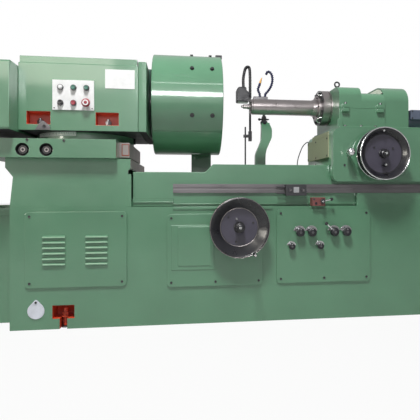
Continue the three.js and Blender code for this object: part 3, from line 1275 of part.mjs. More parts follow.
function coolantTank() {
  const body = block([tank.left, tankRight], [tank.front, tank.rear], [0, tank.top]);
  const hollows = cells([tank.left, tankRight], [tank.front, tank.rear], [-overrun, tank.top - tank.wall],
    tankRight - tank.left, tank.rows, tank.wall);
  const tray = block([tank.left - tank.trayProud, tankRight + tank.trayProud],
    [tank.front - tank.trayProud, tank.rear + tank.trayProud],
    [tank.top - overrun, tank.top + tank.trayHeight]);
  const trayRoom = block([tank.left - tank.trayProud + tank.trayWall,
    tankRight + tank.trayProud - tank.trayWall],
    [tank.front - tank.trayProud + tank.trayWall, tank.rear + tank.trayProud - tank.trayWall],
    [tank.top + tank.trayWall, tank.top + tank.trayHeight + overrun]);
  return cut(join(body, tray), trayRoom, ...hollows);
}

add(machine, 'coolant_tank', coolantTank(), paint);

// The frame: origin at the middle of the footprint, on the floor
const box = new THREE.Box3().setFromObject(machine);
machine.position.set(-(box.min.x + box.max.x) / 2, -(box.min.y + box.max.y) / 2, -box.min.z);
machine.updateMatrixWorld(true);

export default machine;
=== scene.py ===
import json
import math
from types import SimpleNamespace

import bmesh
import bpy
from mathutils import Matrix, Vector


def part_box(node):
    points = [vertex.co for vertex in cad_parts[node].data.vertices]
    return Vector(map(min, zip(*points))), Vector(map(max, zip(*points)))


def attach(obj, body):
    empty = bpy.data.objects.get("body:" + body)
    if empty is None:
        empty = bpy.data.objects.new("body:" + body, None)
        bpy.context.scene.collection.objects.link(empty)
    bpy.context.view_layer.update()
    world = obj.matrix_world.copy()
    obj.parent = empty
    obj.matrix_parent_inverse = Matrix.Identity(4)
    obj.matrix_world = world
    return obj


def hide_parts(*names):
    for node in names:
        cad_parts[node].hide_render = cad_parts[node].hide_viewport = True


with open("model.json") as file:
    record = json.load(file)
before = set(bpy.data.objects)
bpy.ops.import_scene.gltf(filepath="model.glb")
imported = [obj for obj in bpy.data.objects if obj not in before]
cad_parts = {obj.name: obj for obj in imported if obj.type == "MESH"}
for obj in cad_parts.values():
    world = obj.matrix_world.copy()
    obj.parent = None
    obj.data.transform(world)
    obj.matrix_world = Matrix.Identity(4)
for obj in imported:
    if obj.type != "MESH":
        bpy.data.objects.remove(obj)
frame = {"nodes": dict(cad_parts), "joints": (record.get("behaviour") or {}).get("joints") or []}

bl_info = {
    "name": "Internal grinding machine",
    "version": (1, 0, 0),
    "blender": (4, 5, 0),
    "location": "View3D > Sidebar > Grinder",
    "description": "Dresses the packed frame of an internal grinding machine, one group of pieces at a time",
    "category": "Object",
}

# Shapes are drawn in millimetres from the bed's front left lower corner, then placed in the frame's metres
MILLIMETRE = 0.001
BED_CORNER = Vector((1165, 282, 0))
TO_FRAME = Matrix.Scale(MILLIMETRE, 4) @ Matrix.Translation(-BED_CORNER)

AXES = {"x": Vector((1, 0, 0)), "y": Vector((0, 1, 0)), "z": Vector((0, 0, 1))}
FULL_TURN = 2 * math.pi
MERGE = 0.02
SHARP_ANGLE = math.radians(32)
BEVEL_ANGLE = math.radians(24)
FLAT_ANGLE = math.radians(0.5)
BROAD_FACE = 60000
ROUND_STEPS = 96
SMALL_STEPS = 32

# Centre line of both spindles
AXIS_Y = 330
AXIS_Z = 1197
SPINDLE_LINE = (0, AXIS_Y, AXIS_Z)

# Front face of the panels, seat of the knobs on them, and height of the traverse wheel
PANEL_FACE = -8
KNOB_SEAT = -8.3
TRAVERSE_HEIGHT = 499

# Left end of the skirt under the table, top of the bed's rear shelf, and plane of the lamp and the hoses
SKIRT_LEFT = 790
SHELF_TOP = 700.3
FITTINGS_Y = 560

# Light of the room, what each kind of ray adds to it, white share of the floor, colour of the left lights
ROOM_LIGHT = 0.17
RAY_GAINS = (("Is Glossy Ray", 0.28), ("Is Transmission Ray", 0.83), ("Is Camera Ray", 0.83))
FLOOR_WHITE_SHARE = 0.88
WARM_WHITE = (1, 0.96, 0.85)

# Picture side, focal length and level point of the camera in pixels, its place and its turn to the right
PICTURE_SIDE = 420
FOCAL = 400
LEVEL_POINT = (234, 190)
CAMERA_PLACE = (-0.3135, -2.357)
CAMERA_TURN = math.radians(6.98)


def extent(node):
    """Box of a CAD node in millimetres from the bed corner."""
    low, high = (Vector(corner) / MILLIMETRE + BED_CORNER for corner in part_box(node))
    return SimpleNamespace(x0=low.x, x1=high.x, y0=low.y, y1=high.y, z0=low.z, z1=high.z)


def pivot(node):
    """Place of the joint that carries a CAD node, in millimetres from the bed corner."""
    joint = next(j for j in frame["joints"] if j["child"] == node)
    return Vector(joint["pos_m"]) / MILLIMETRE + BED_CORNER


class Wire:
    """An output socket whose Python operators add Math nodes."""

    def __init__(self, finish, socket):
        self.finish = finish
        self.socket = socket

    def maths(self, operation, first, second):
        return self.finish.node("ShaderNodeMath", {"operation": operation}, {0: first, 1: second})

    def __add__(self, other):
        return self.maths("ADD", self, other)

    def __mul__(self, other):
        return self.maths("MULTIPLY", self, other)


class Finish:
    """A material under construction: its Principled shader and the nodes that feed it."""

    def __init__(self, name, colour, roughness, metallic=0.0):
        self.material = bpy.data.materials.new(name)
        self.material.use_nodes = True
        self.tree = self.material.node_tree
        self.shader = self.tree.nodes["Principled BSDF"]
        self.colour = (*colour, 1)
        self.shader.inputs["Metallic"].default_value = metallic
        self.shader.inputs["Base Color"].default_value = self.colour
        self.shader.inputs["Roughness"].default_value = roughness
        self.place = self.node("ShaderNodeTexCoord", output="Object")

    def node(self, kind, settings=None, inputs=None, output=0):
        """Adds a node: its settings first, then the values or links of its sockets."""
        made = self.tree.nodes.new(kind)
        for name, value in (settings or {}).items():
            if name == "stops":
                self.set_stops(made.color_ramp, value)
            else:
                setattr(made, name, value)
        for name, value in (inputs or {}).items():
            self.feed(made.inputs[name], value)
        return Wire(self, made.outputs[output])

    def set_stops(self, ramp, stops):
        while len(ramp.elements) < len(stops):
            ramp.elements.new(1)
        for element, (position, colour) in zip(ramp.elements, stops):
            element.position = position
            element.color = colour

    def feed(self, socket, value):
        if isinstance(value, Wire):
            self.tree.links.new(value.socket, socket)
        else:
            socket.default_value = value

    def noise(self, scale, detail=3.0, stretch=(1, 1, 1)):
        """Noise between 0 and 1 at a number of patches per metre, pulled out along some axes."""
        place = self.node("ShaderNodeMapping", {}, {"Vector": self.place, "Scale": stretch})
        return self.node("ShaderNodeTexNoise", {}, {"Vector": place, "Scale": scale, "Detail": detail}, "Fac")

    def between(self, share, low, high):
        """A number that goes from low to high as the share goes from a quarter to three quarters."""
        return self.node("ShaderNodeMapRange", {"clamp": True}, {
            "Value": share, "From Min": 0.25, "From Max": 0.75, "To Min": low, "To Max": high})

    def tint(self, share, darkest, lightest):
        """The base colour between two shades of it."""
        dark = [c * darkest for c in self.colour[:3]] + [1]
        light = [min(1, c * lightest) for c in self.colour[:3]] + [1]
        return self.node("ShaderNodeMix", {"data_type": "RGBA"}, {0: share, 6: dark, 7: light}, 2)

    def emboss(self, height, distance, strength):
        bump = self.node("ShaderNodeBump", {}, {"Height": height, "Distance": distance, "Strength": strength})
        self.feed(self.shader.inputs["Normal"], bump)

    def coat(self, weight, roughness):
        self.shader.inputs["Coat Weight"].default_value = weight
        self.shader.inputs["Coat Roughness"].default_value = roughness

    def finish_with(self, colour, roughness):
        self.feed(self.shader.inputs["Base Color"], colour)
        self.feed(self.shader.inputs["Roughness"], roughness)
        return self.material


def painted(name, colour, gloss=0.36, patches=3.2, coat=1.0):
    """Brushed enamel over filled castings: soft patches, faint orange peel, a thin coat."""
    finish = Finish(name, colour, gloss)
    cloud = finish.noise(patches, 4.0)
    specks = finish.noise(900, 1.0)
    tone = finish.between(cloud, 0, 1) * 0.8 + finish.between(specks, 0, 0.2)
    peel = finish.noise(95, 2.0) * 0.7 + finish.noise(14, 2.0)
    finish.coat(coat, 0.09)
    finish.emboss(peel, 0.0009, 0.3)
    shine = finish.between(finish.noise(9, 4.0), gloss - 0.06, gloss + 0.12)
    return finish.finish_with(finish.tint(tone, 0.86, 1.1), shine)


def turned_steel(name, colour, gloss=0.3, rings=(900, 6, 6)):
    """Steel off the lathe or the grinder: fine marks across the axis of cutting."""
    finish = Finish(name, colour, gloss, 1.0)
    marks = finish.noise(1, 3.0, rings)
    smears = finish.noise(16, 4.0)
    finish.emboss(marks, 0.0002, 0.4)
    tone = finish.between(marks, 0, 0.6) + finish.between(smears, 0, 0.4)
    shine = finish.between(smears, gloss - 0.08, gloss + 0.12)
    return finish.finish_with(finish.tint(tone, 0.82, 1.1), shine)


def moulded(name, colour, gloss=0.34, coat=0.1, grain=420):
    """Moulded or stoved finish of small parts, with a fine skin and finger marks."""
    finish = Finish(name, colour, gloss)
    skin = finish.noise(grain, 2.0)
    smears = finish.noise(26, 3.0)
    finish.coat(coat, 0.12)
    finish.emboss(skin, 0.0003, 0.3)
    shine = finish.between(smears, gloss - 0.05, gloss + 0.15)
    return finish.finish_with(finish.tint(smears, 0.8, 1.25), shine)


def polished(name, colour):
    """Chrome plate with faint wiping marks."""
    finish = Finish(name, colour, 0.1, 1.0)
    wipes = finish.noise(40, 3.0, (1, 1, 5))
    finish.emboss(wipes, 0.0001, 0.3)
    return finish.finish_with(finish.tint(wipes, 0.93, 1.05), finish.between(wipes, 0.07, 0.2))


def bare_casting(name, colour):
    """Scraped unpainted iron with a dull bloom."""
    finish = Finish(name, colour, 0.5, 0.4)
    pores = finish.noise(260, 4.0)
    bloom = finish.noise(11, 4.0)
    finish.emboss(pores, 0.0006, 0.4)
    return finish.finish_with(finish.tint(bloom, 0.75, 1.2), finish.between(pores, 0.42, 0.62))


# Each finish: how it is made, its colour on the panel, and its settings
RECIPES = {
    "green": (painted, "green", {}),
    "matt green": (painted, "green", {"gloss": 0.5, "coat": 0.12}),
    "red": (painted, "red", {"gloss": 0.55, "coat": 0.0}),
    "maroon": (painted, "maroon", {"gloss": 0.55, "coat": 0.1}),
    "dark enamel": (painted, "painted_shade", {"gloss": 0.5, "coat": 0.2}),
    "motor blue": (painted, "motor", {"gloss": 0.5, "coat": 0.2}),
    "olive": (painted, "olive", {"gloss": 0.55, "patches": 9, "coat": 0.1}),
    "black paint": (moulded, "black", {"gloss": 0.26, "coat": 0.3, "grain": 160}),
    "wheel floor": (moulded, "wheel_floor", {"gloss": 0.5, "grain": 160}),
    "black plastic": (moulded, "black", {}),
    "black iron": (moulded, "iron", {"gloss": 0.48, "coat": 0.05, "grain": 300}),
    "label cream": (moulded, "cream", {"gloss": 0.45}),
    "green plastic": (moulded, "green_button", {}),
    "red plastic": (moulded, "red_button", {}),
    "white plate": (moulded, "white", {"gloss": 0.4}),
    "grey plate": (moulded, "disc", {"gloss": 0.45}),
    "hose": (moulded, "hose", {"gloss": 0.4}),
    "nozzle": (moulded, "nozzle", {"gloss": 0.38}),
    "rubber": (moulded, "rubber", {"gloss": 0.7, "coat": 0.0}),
    "steel": (turned_steel, "steel", {}),
    "ground rail": (turned_steel, "rail", {"gloss": 0.42, "rings": (5, 5, 700)}),
    "dark steel": (turned_steel, "dark_steel", {"gloss": 0.36}),
    "chrome": (polished, "chrome", {}),
    "bare iron": (bare_casting, "bare_iron", {}),
}
made_finishes = {}


def finish(name):
    """The material of that name, made the first time that it is asked for."""
    if name not in made_finishes:
        recipe, colour, settings = RECIPES[name]
        made_finishes[name] = recipe(name, getattr(bpy.context.scene.grinder_colours, colour), **settings)
    return made_finishes[name]


def repaint(name, *nodes):
    """Gives CAD nodes that stay in view their own finish."""
    for node in nodes:
        materials = frame["nodes"][node].data.materials
        materials.clear()
        materials.append(finish(name))


def sharp_edges(shape):
    return [e for e in shape.edges if len(e.link_faces) == 2 and e.calc_face_angle(0) > BEVEL_ANGLE]


def round_off(shape, width, segments=2, edges=None):
    """Rounds the sharp edges of a shape, or the given ones, and gives the new faces."""
    chosen = sharp_edges(shape) if edges is None else edges
    return set(bmesh.ops.bevel(shape, geom=chosen, offset=width, offset_type="OFFSET", segments=segments,
                               profile=0.5, affect="EDGES", clamp_overlap=True, material=-1)["faces"])


def stub(radius, depth, steps=SMALL_STEPS, bevel=0.0):
    """A short round or many-sided bar about the origin, along z."""
    shape = bmesh.new()
    bmesh.ops.create_cone(shape, cap_ends=True, segments=steps, radius1=radius, radius2=radius, depth=depth)
    if bevel:
        round_off(shape, bevel)
    return shape


def shade(shape, rounded):
    """Smooth shading with a crease at each corner; broad flat faces stay flat."""
    shape.normal_update()
    for face in shape.faces:
        face.smooth = face in rounded or face.calc_area() < BROAD_FACE
    for line in shape.edges:
        line.smooth = line.calc_face_angle(0) < SHARP_ANGLE


class Piece:
    """One piece of the machine, put together from closed shapes in millimetres."""

    def __init__(self):
        self.shape = bmesh.new()
        self.materials = []

    def slot_of(self, material):
        if material not in self.materials:
            self.materials.append(material)
        return self.materials.index(material)

    def take(self, shape, material, bevel=0.0, segments=2, rounded=frozenset()):
        """Joins a closed shape to the piece."""
        if bevel:
            rounded = round_off(shape, bevel, segments)
        shade(shape, rounded)
        slot = self.slot_of(material)
        for face in shape.faces:
            face.material_index = slot
        self.join(shape)

    def join(self, shape):
        mesh = bpy.data.meshes.new("shape")
        shape.to_mesh(mesh)
        shape.free()
        self.shape.from_mesh(mesh)
        bpy.data.meshes.remove(mesh)

    def set_on(self, shape, foot, way, material):
        """Turns a shape drawn along z into a direction, moves it to its place and joins it."""
        bmesh.ops.transform(shape, matrix=Matrix.Translation(foot) @ turn_to(way), verts=shape.verts)
        self.take(shape, material)

    def box(self, x, y, z, material, bevel=1.0, turn=None):
        """A block between a low and a high value on each axis."""
        shape = bmesh.new()
        middle = Vector((sum(x) / 2, sum(y) / 2, sum(z) / 2))
        size = Matrix.Diagonal((x[1] - x[0], y[1] - y[0], z[1] - z[0], 1))
        tilt = turn or Matrix.Identity(4)
        bmesh.ops.create_cube(shape, size=1, matrix=size)
        rounded = round_off(shape, bevel) if bevel else frozenset()
        bmesh.ops.transform(shape, matrix=Matrix.Translation(middle) @ tilt, verts=shape.verts)
        self.take(shape, material, rounded=rounded)

    def tick(self, size, spot, turn, axis):
        """A mark of a scale."""
        self.box(*((-side / 2, side / 2) for side in size), "black iron", 0,
                 turn=Matrix.Translation(spot) @ Matrix.Rotation(turn, 4, axis))

    def prism(self, outline, axis, span, material, bevel=0.0, segments=2):
        """An outline in the plane across the axis, drawn out between two places on it."""
        shape = bmesh.new()
        corners = [shape.verts.new(across(axis, u, v, span[0])) for u, v in outline]
        face = shape.faces.new(corners)
        drawn = bmesh.ops.extrude_face_region(shape, geom=[face])
        moved = [v for v in drawn["geom"] if isinstance(v, bmesh.types.BMVert)]
        bmesh.ops.translate(shape, verts=moved, vec=AXES[axis] * (span[1] - span[0]))
        bmesh.ops.recalc_face_normals(shape, faces=shape.faces)
        self.take(shape, material, bevel, segments)

    def turned(self, profile, axis, centre, material, steps=ROUND_STEPS, closed=False, angle=FULL_TURN,
               start=0.0, bevel=0.0):
        """A profile of radius and place turned about an axis through the centre."""
        shape = spun(profile, axis, centre, steps, closed, angle, start)
        self.take(shape, material, bevel)

    def rod(self, radius, span, axis, centre, material, steps=SMALL_STEPS, bevel=0.6):
        edge = min(bevel, radius / 3, (span[1] - span[0]) / 3)
        self.turned([
            (0, span[0]), (radius - edge, span[0]), (radius, span[0] + edge), (radius, span[1] - edge),
            (radius - edge, span[1]), (0, span[1]),
        ], axis, centre, material, steps)

    def ring(self, inner, outer, span, axis, centre, material, steps=ROUND_STEPS, bevel=0.6):
        e = bevel
        self.turned([
            (inner, span[0] + e), (inner + e, span[0]), (outer - e, span[0]), (outer, span[0] + e),
            (outer, span[1] - e), (outer - e, span[1]), (inner + e, span[1]), (inner, span[1] - e),
        ], axis, centre, material, steps, closed=True)

    def ball(self, radius, centre, material):
        shape = bmesh.new()
        bmesh.ops.create_uvsphere(shape, u_segments=SMALL_STEPS, v_segments=SMALL_STEPS // 2, radius=radius,
                                  matrix=Matrix.Translation(centre))
        self.take(shape, material)

    def hexagon(self, across_flats, span, axis, centre, material):
        """A six-sided head or nut."""
        shape = stub(across_flats / math.sqrt(3), span[1] - span[0], 6, 0.8)
        self.set_on(shape, Vector(centre) + AXES[axis] * (span[0] + span[1]) / 2, AXES[axis], material)

    def socket_head(self, radius, height, axis, centre, material, outwards=-1):
        """A cap screw: round head with a sunk socket, its seat at the centre."""
        shape = stub(radius, height)
        top = max(shape.faces, key=lambda f: f.calc_center_median().z)
        bmesh.ops.inset_region(shape, faces=[top], thickness=radius * 0.45)
        bmesh.ops.translate(shape, verts=top.verts, vec=(0, 0, -height * 0.5))
        rim = [e for e in shape.edges if all(v.co.z > height * 0.49 for v in e.verts)
               and all(v.co.xy.length > radius * 0.95 for v in e.verts)]
        round_off(shape, radius * 0.09, 2, rim)
        out = AXES[axis] * outwards
        self.set_on(shape, Vector(centre) + out * height / 2, out, material)

    def heads(self, radius, height, axis, firsts, seconds, place, material="black iron", outwards=-1):
        """A cap screw at each crossing of two rows of places across an axis."""
        for u in firsts:
            for v in seconds:
                self.socket_head(radius, height, axis, across(axis, u, v, place), material, outwards)

    def screw_circle(self, radius, height, axis, centre, place, count, reach, start):
        """Cap screws evenly round an axis, the first at the start angle."""
        for turn in range(count):
            u, v = around(centre, reach, FULL_TURN * turn / count + start)
            self.socket_head(radius, height, axis, across(axis, u, v, place), "black iron")

    def tube(self, points, radius, material, steps=12):
        """A round bar that follows a list of points; its ends are closed."""
        shape = bmesh.new()
        path = [Vector(p) for p in points]
        ways = [(b - a).normalized() for a, b in zip(path, path[1:])]
        headings = [ways[0], *[(a + b).normalized() for a, b in zip(ways, ways[1:])], ways[-1]]
        size = Matrix.Scale(radius, 4)
        loop = bmesh.ops.create_circle(shape, segments=steps, radius=1)["verts"]
        edges = list({e for v in loop for e in v.link_edges})
        spin = headings[0].to_track_quat("Z", "Y").to_matrix().to_4x4()
        place = Matrix.Translation(path[0]) @ spin @ size
        bmesh.ops.transform(shape, matrix=place, verts=loop)
        bmesh.ops.contextual_create(shape, geom=edges)
        for heading, before, centre in zip(headings[1:], headings, path[1:]):
            drawn = bmesh.ops.extrude_edge_only(shape, edges=edges)["geom"]
            verts = [v for v in drawn if isinstance(v, bmesh.types.BMVert)]
            edges = [e for e in drawn if isinstance(e, bmesh.types.BMEdge)]
            spin = before.rotation_difference(heading).to_matrix().to_4x4() @ spin
            fresh = Matrix.Translation(centre) @ spin @ size
            bmesh.ops.transform(shape, matrix=fresh @ place.inverted(), verts=verts)
            place = fresh
        bmesh.ops.contextual_create(shape, geom=edges)
        bmesh.ops.recalc_face_normals(shape, faces=shape.faces)
        self.take(shape, material)

    def casting(self, node, material, bevel=2.0, segments=2, lined=(), wide=()):
        """A CAD node's own shape with its edges rounded.

        The faces in a lined box get its finish, and the edges in a wide box its width of rounding.
        """
        solid = frame["nodes"][node]
        shape = bmesh.new()
        shape.from_mesh(solid.data)
        bmesh.ops.transform(shape, matrix=TO_FRAME.inverted() @ solid.matrix_world, verts=shape.verts)
        bmesh.ops.remove_doubles(shape, verts=shape.verts, dist=MERGE)
        bmesh.ops.dissolve_limit(shape, angle_limit=FLAT_ANGLE, verts=shape.verts, edges=shape.edges)
        for box, width in wide:
            chosen = [e for e in sharp_edges(shape) if inside((e.verts[0].co + e.verts[1].co) / 2, box)]
            round_off(shape, width, 6, chosen)
        shade(shape, round_off(shape, bevel, segments) if bevel else frozenset())
        slot = self.slot_of(material)
        linings = [(box, self.slot_of(lining)) for box, lining in lined]
        for face in shape.faces:
            middle = face.calc_center_median()
            face.material_index = next((index for box, index in linings if inside(middle, box)), slot)
        self.join(shape)

    def done(self, name, body, slot, *nodes):
        """Makes the object, rides it on its body and hides the CAD nodes that it stands for."""
        bmesh.ops.transform(self.shape, matrix=TO_FRAME, verts=self.shape.verts)
        mesh = bpy.data.meshes.new(name)
        self.shape.to_mesh(mesh)
        self.shape.free()
        for material in self.materials:
            mesh.materials.append(finish(material))
        made = bpy.data.objects.new(name, mesh)
        bpy.context.scene.collection.objects.link(made)
        weigh = made.modifiers.new("Even shading", "WEIGHTED_NORMAL")
        weigh.keep_sharp = True
        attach(made, body)
        if nodes:
            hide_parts(*nodes)


def inside(point, box):
    return all(low <= value <= high for value, (low, high) in zip(point, box))


def across(axis, u, v, place):
    """A point from its two values across an axis and its place on it."""
    return {"x": Vector((place, u, v)), "y": Vector((u, place, v)), "z": Vector((u, v, place))}[axis]


def turn_to(direction):
    return Vector((0, 0, 1)).rotation_difference(direction).to_matrix().to_4x4()


def spun(profile, axis, centre, steps, closed=False, angle=FULL_TURN, start=0.0):
    """A turned shape; its profile lies at the start angle."""
    shape = bmesh.new()
    whole = math.isclose(angle, FULL_TURN)
    aside = {"x": Vector((0, 1, 0)), "y": Vector((1, 0, 0)), "z": Vector((1, 0, 0))}[axis]
    middle = Vector(centre)
    corners = [shape.verts.new(middle + AXES[axis] * place + aside * radius) for radius, place in profile]
    lines = [shape.edges.new(pair) for pair in zip(corners, corners[1:])]
    if closed:
        lines.append(shape.edges.new((corners[-1], corners[0])))
    if start:
        bmesh.ops.rotate(shape, cent=centre, matrix=Matrix.Rotation(start, 3, AXES[axis]), verts=corners)
    bmesh.ops.spin(shape, geom=corners + lines, cent=centre, axis=AXES[axis], dvec=(0, 0, 0), angle=angle,
                   steps=steps, use_merge=whole, use_duplicate=False)
    bmesh.ops.remove_doubles(shape, verts=shape.verts, dist=MERGE)
    if not whole:
        bmesh.ops.holes_fill(shape, edges=[e for e in shape.edges if e.is_boundary], sides=0)
    bmesh.ops.recalc_face_normals(shape, faces=shape.faces)
    return shape


def around(centre, radius, angle):
    """A point on a circle."""
    return centre[0] + radius * math.cos(angle), centre[1] + radius * math.sin(angle)


def near(corner, *steps):
    """Points given by their steps from a corner."""
    return [(corner[0] + u, corner[1] + v) for u, v in steps]


def arc(centre, radius, start, end, steps):
    """Points on a circle between two angles in degrees."""
    return [around(centre, radius, math.radians(start + (end - start) * i / steps)) for i in range(steps + 1)]


def rounded_outline(box, radius):
    """Front outline of a plate with round corners."""
    left, right, low, high = box.x0 + radius, box.x1 - radius, box.z0 + radius, box.z1 - radius
    centres = ((right, low), (right, high), (left, high), (left, low))
    return [point for quarter, centre in enumerate(centres)
            for point in arc(centre, radius, 90 * quarter - 90, 90 * quarter, 8)]


def upright(*points):
    """Places in the plane of the lamp and the hoses."""
    return [(x, FITTINGS_Y, z) for x, z in points]


def smooth_route(points, steps=8):
    """Points of a smooth curve through the given ones."""
    path = [Vector(p) for p in points]
    ends = [path[0] * 2 - path[1], *path, path[-1] * 2 - path[-2]]
    route = []
    for a, b, c, d in zip(ends, ends[1:], ends[2:], ends[3:]):
        for i in range(steps):
            t = i / steps
            route.append((b * 2 + (c - a) * t + (a * 2 - b * 5 + c * 4 - d) * t ** 2
                          + (b * 3 - a - c * 3 + d) * t ** 3) / 2)
    return [*route, path[-1]]


class GrinderSizes(bpy.types.PropertyGroup):
    """Sizes that the machine's dressing is drawn with."""

    casting_edge: bpy.props.FloatProperty(
        name="Casting edge", description="Rounding of the edges of large castings", default=0.004, min=0.0,
        unit="LENGTH")
    sheet_edge: bpy.props.FloatProperty(
        name="Sheet edge", description="Rounding of the edges of panels and covers", default=0.0015, min=0.0,
        unit="LENGTH")
    hose_pitch: bpy.props.FloatProperty(
        name="Hose pitch", description="Length of one segment of the coolant hoses", default=0.0125,
        min=0.005, unit="LENGTH")
    eye_height: bpy.props.FloatProperty(
        name="Eye height", description="Height of the camera above the floor", default=0.690, unit="LENGTH")
    floor_size: bpy.props.FloatProperty(
        name="Floor size", description="Side of the floor around the machine", default=40.0, unit="LENGTH")


def colour_property(name, description, default):
    return bpy.props.FloatVectorProperty(
        name=name, description=description, default=default, subtype="COLOR", min=0.0, max=1.0)


class GrinderColours(bpy.types.PropertyGroup):
    """Colours of the machine's finishes."""

    green: colour_property("Green enamel", "Paint of all castings and covers", (0.1, 0.25, 0.143))
    # Painted shade: near-black green painted on the nose boss, where shade falls between the workhead housing
    # and the guard
    painted_shade: colour_property("Painted shade", "Shaded neck and cover of the workhead", (0.02, 0.06, 0.045))
    # Cream is painted light: it stands for the lit left face of the belt cover
    cream: colour_property("Cream", "End plate of the belt cover", (0.8, 0.82, 0.7))
    red: colour_property("Red primer", "Paint inside the clamp windows and pockets", (0.6, 0.06, 0.018))
    maroon: colour_property("Maroon", "Start valve", (0.2, 0.06, 0.055))
    black: colour_property("Black", "Handwheels, knobs and lamp", (0.009, 0.009, 0.013))
    wheel_floor: colour_property("Wheel floor", "Flat floors of the dished handwheels", (0.055, 0.05, 0.075))
    iron: colour_property("Black iron", "Trip dog, clamps and dark fittings", (0.03, 0.03, 0.034))
    motor: colour_property("Motor paint", "Grinding motor", (0.11, 0.13, 0.19))
    green_button: colour_property("Green button", "Start buttons", (0.05, 0.17, 0.13))
    red_button: colour_property("Red button", "Stop buttons", (0.32, 0.025, 0.045))
    white: colour_property("White plate", "Button plate and blank plates", (0.84, 0.85, 0.85))
    disc: colour_property("Disc", "Hanging disc", (0.68, 0.7, 0.78))
    olive: colour_property("Olive", "Side cover of the cross-feed box", (0.3, 0.32, 0.2))
    hose: colour_property("Hose", "Segmented coolant hoses", (0.02, 0.022, 0.075))
    nozzle: colour_property("Nozzle", "Nozzle tip", (0.75, 0.4, 0.1))
    rubber: colour_property("Rubber", "Belts and bellows", (0.025, 0.025, 0.028))
    steel: colour_property("Steel", "Spindles, chuck and quill", (0.46, 0.42, 0.42))
    rail: colour_property("Rail", "Dog rail", (0.17, 0.162, 0.168))
    dark_steel: colour_property("Dark steel", "Flange and clamp bolts", (0.16, 0.155, 0.165))
    chrome: colour_property("Chrome", "Rims, scales and small screws", (0.8, 0.81, 0.82))
    bare_iron: colour_property("Bare iron", "Unpainted faces of castings", (0.42, 0.36, 0.35))


def edge(kind="casting_edge"):
    """Rounding in millimetres from the panel's sizes."""
    return getattr(bpy.context.scene.grinder_sizes, kind) / MILLIMETRE


class GRINDER_OT_stage(bpy.types.Operator):
    """Floor, studio lights and camera"""

    bl_idname = "grinder.stage"
    bl_label = "Stage"

    def execute(self, context):
        scene = context.scene
        scene.view_settings.view_transform = "Standard"
        self.add_camera(scene)
        self.add_floor(scene)
        self.add_world(scene)
        for name, size, place, aim, power, mirrored in (
                ("Key light", (0.7, 0.7), (-0.6, -2.0, 4.6), (-0.3, -0.3, 0.8), 235, False),
                ("Window light", (1.3, 0.62), (-0.22, -3.6, 2.2), (-0.22, 0.0, 1.2), 66, True),
                ("Upper window light", (1.3, 0.1), (-0.22, -3.6, 4.2), (-0.22, 0.0, 1.2), 6, True),
                ("Left light", (1.3, 1.2), (-1.75, -2.6, 2.4), (-1.6, 0.0, 1.3), 24, True),
                ("Left low light", (1.6, 0.9), (-3.0, -1.4, 1.1), (0.47, -0.3, 0.95), 60, True),
                ("Back light", (2.4, 2.4), (0.4, 3.6, 2.6), (0.0, 0.0, 0.9), 20, False)):
            data = bpy.data.lights.new(name, "AREA")
            data.shape = "RECTANGLE"
            data.size, data.size_y = size
            data.energy = power
            data.color = WARM_WHITE if "Left" in name else (1, 1, 1)
            lamp = bpy.data.objects.new(name, data)
            lamp.location = place
            lamp.visible_glossy = mirrored
            lamp.visible_diffuse = not mirrored
            lamp.rotation_euler = (Vector(aim) - Vector(place)).to_track_quat("-Z", "Y").to_euler()
            scene.collection.objects.link(lamp)
        return {"FINISHED"}

    def add_camera(self, scene):
        data = bpy.data.cameras.new("Camera")
        data.lens = data.sensor_width * FOCAL / PICTURE_SIDE
        data.shift_x = (PICTURE_SIDE / 2 - LEVEL_POINT[0]) / PICTURE_SIDE
        data.shift_y = (LEVEL_POINT[1] - PICTURE_SIDE / 2) / PICTURE_SIDE
        camera = bpy.data.objects.new("Camera", data)
        camera.location = (*CAMERA_PLACE, scene.grinder_sizes.eye_height)
        camera.rotation_euler = (math.radians(90), 0, -CAMERA_TURN)
        scene.collection.objects.link(camera)
        scene.camera = camera

    def add_floor(self, scene):
        shape = bmesh.new()
        bmesh.ops.create_grid(shape, x_segments=1, y_segments=1, size=scene.grinder_sizes.floor_size / 2)
        mesh = bpy.data.meshes.new("Floor")
        shape.to_mesh(mesh)
        shape.free()
        floor = bpy.data.objects.new("Floor", mesh)
        floor.location.z = -0.001
        scene.collection.objects.link(floor)
        pale = Finish("Floor", (0.62, 0.62, 0.61), 0.9)
        soft = pale.noise(1.5)
        pale.finish_with(pale.tint(soft, 0.99, 1.0), pale.between(soft, 0.85, 0.95))
        glow = pale.node("ShaderNodeEmission", {}, {"Color": (1, 1, 1, 1), "Strength": 1.0})
        seen = pale.node("ShaderNodeLightPath", output="Is Camera Ray")
        both = pale.node("ShaderNodeMixShader", {}, {0: seen * FLOOR_WHITE_SHARE, 2: glow})
        pale.tree.links.new(pale.shader.outputs[0], both.socket.node.inputs[1])
        pale.tree.links.new(both.socket, pale.tree.nodes["Material Output"].inputs["Surface"])
        mesh.materials.append(pale.material)

    def add_world(self, scene):
        world = bpy.data.worlds.new("Studio")
        world.use_nodes = True
        tree = world.node_tree
        background = tree.nodes["Background"]
        rays = tree.nodes.new("ShaderNodeLightPath")
        strength = tree.nodes.new("ShaderNodeValue").outputs[0]
        strength.default_value = ROOM_LIGHT
        for ray, gain in RAY_GAINS:
            step = tree.nodes.new("ShaderNodeMath")
            step.operation = "MULTIPLY_ADD"
            step.inputs[1].default_value = gain
            tree.links.new(rays.outputs[ray], step.inputs[0])
            tree.links.new(strength, step.inputs[2])
            strength = step.outputs[0]
        tree.links.new(strength, background.inputs["Strength"])
        background.inputs["Color"].default_value = (1, 1, 1, 1)
        scene.world = world


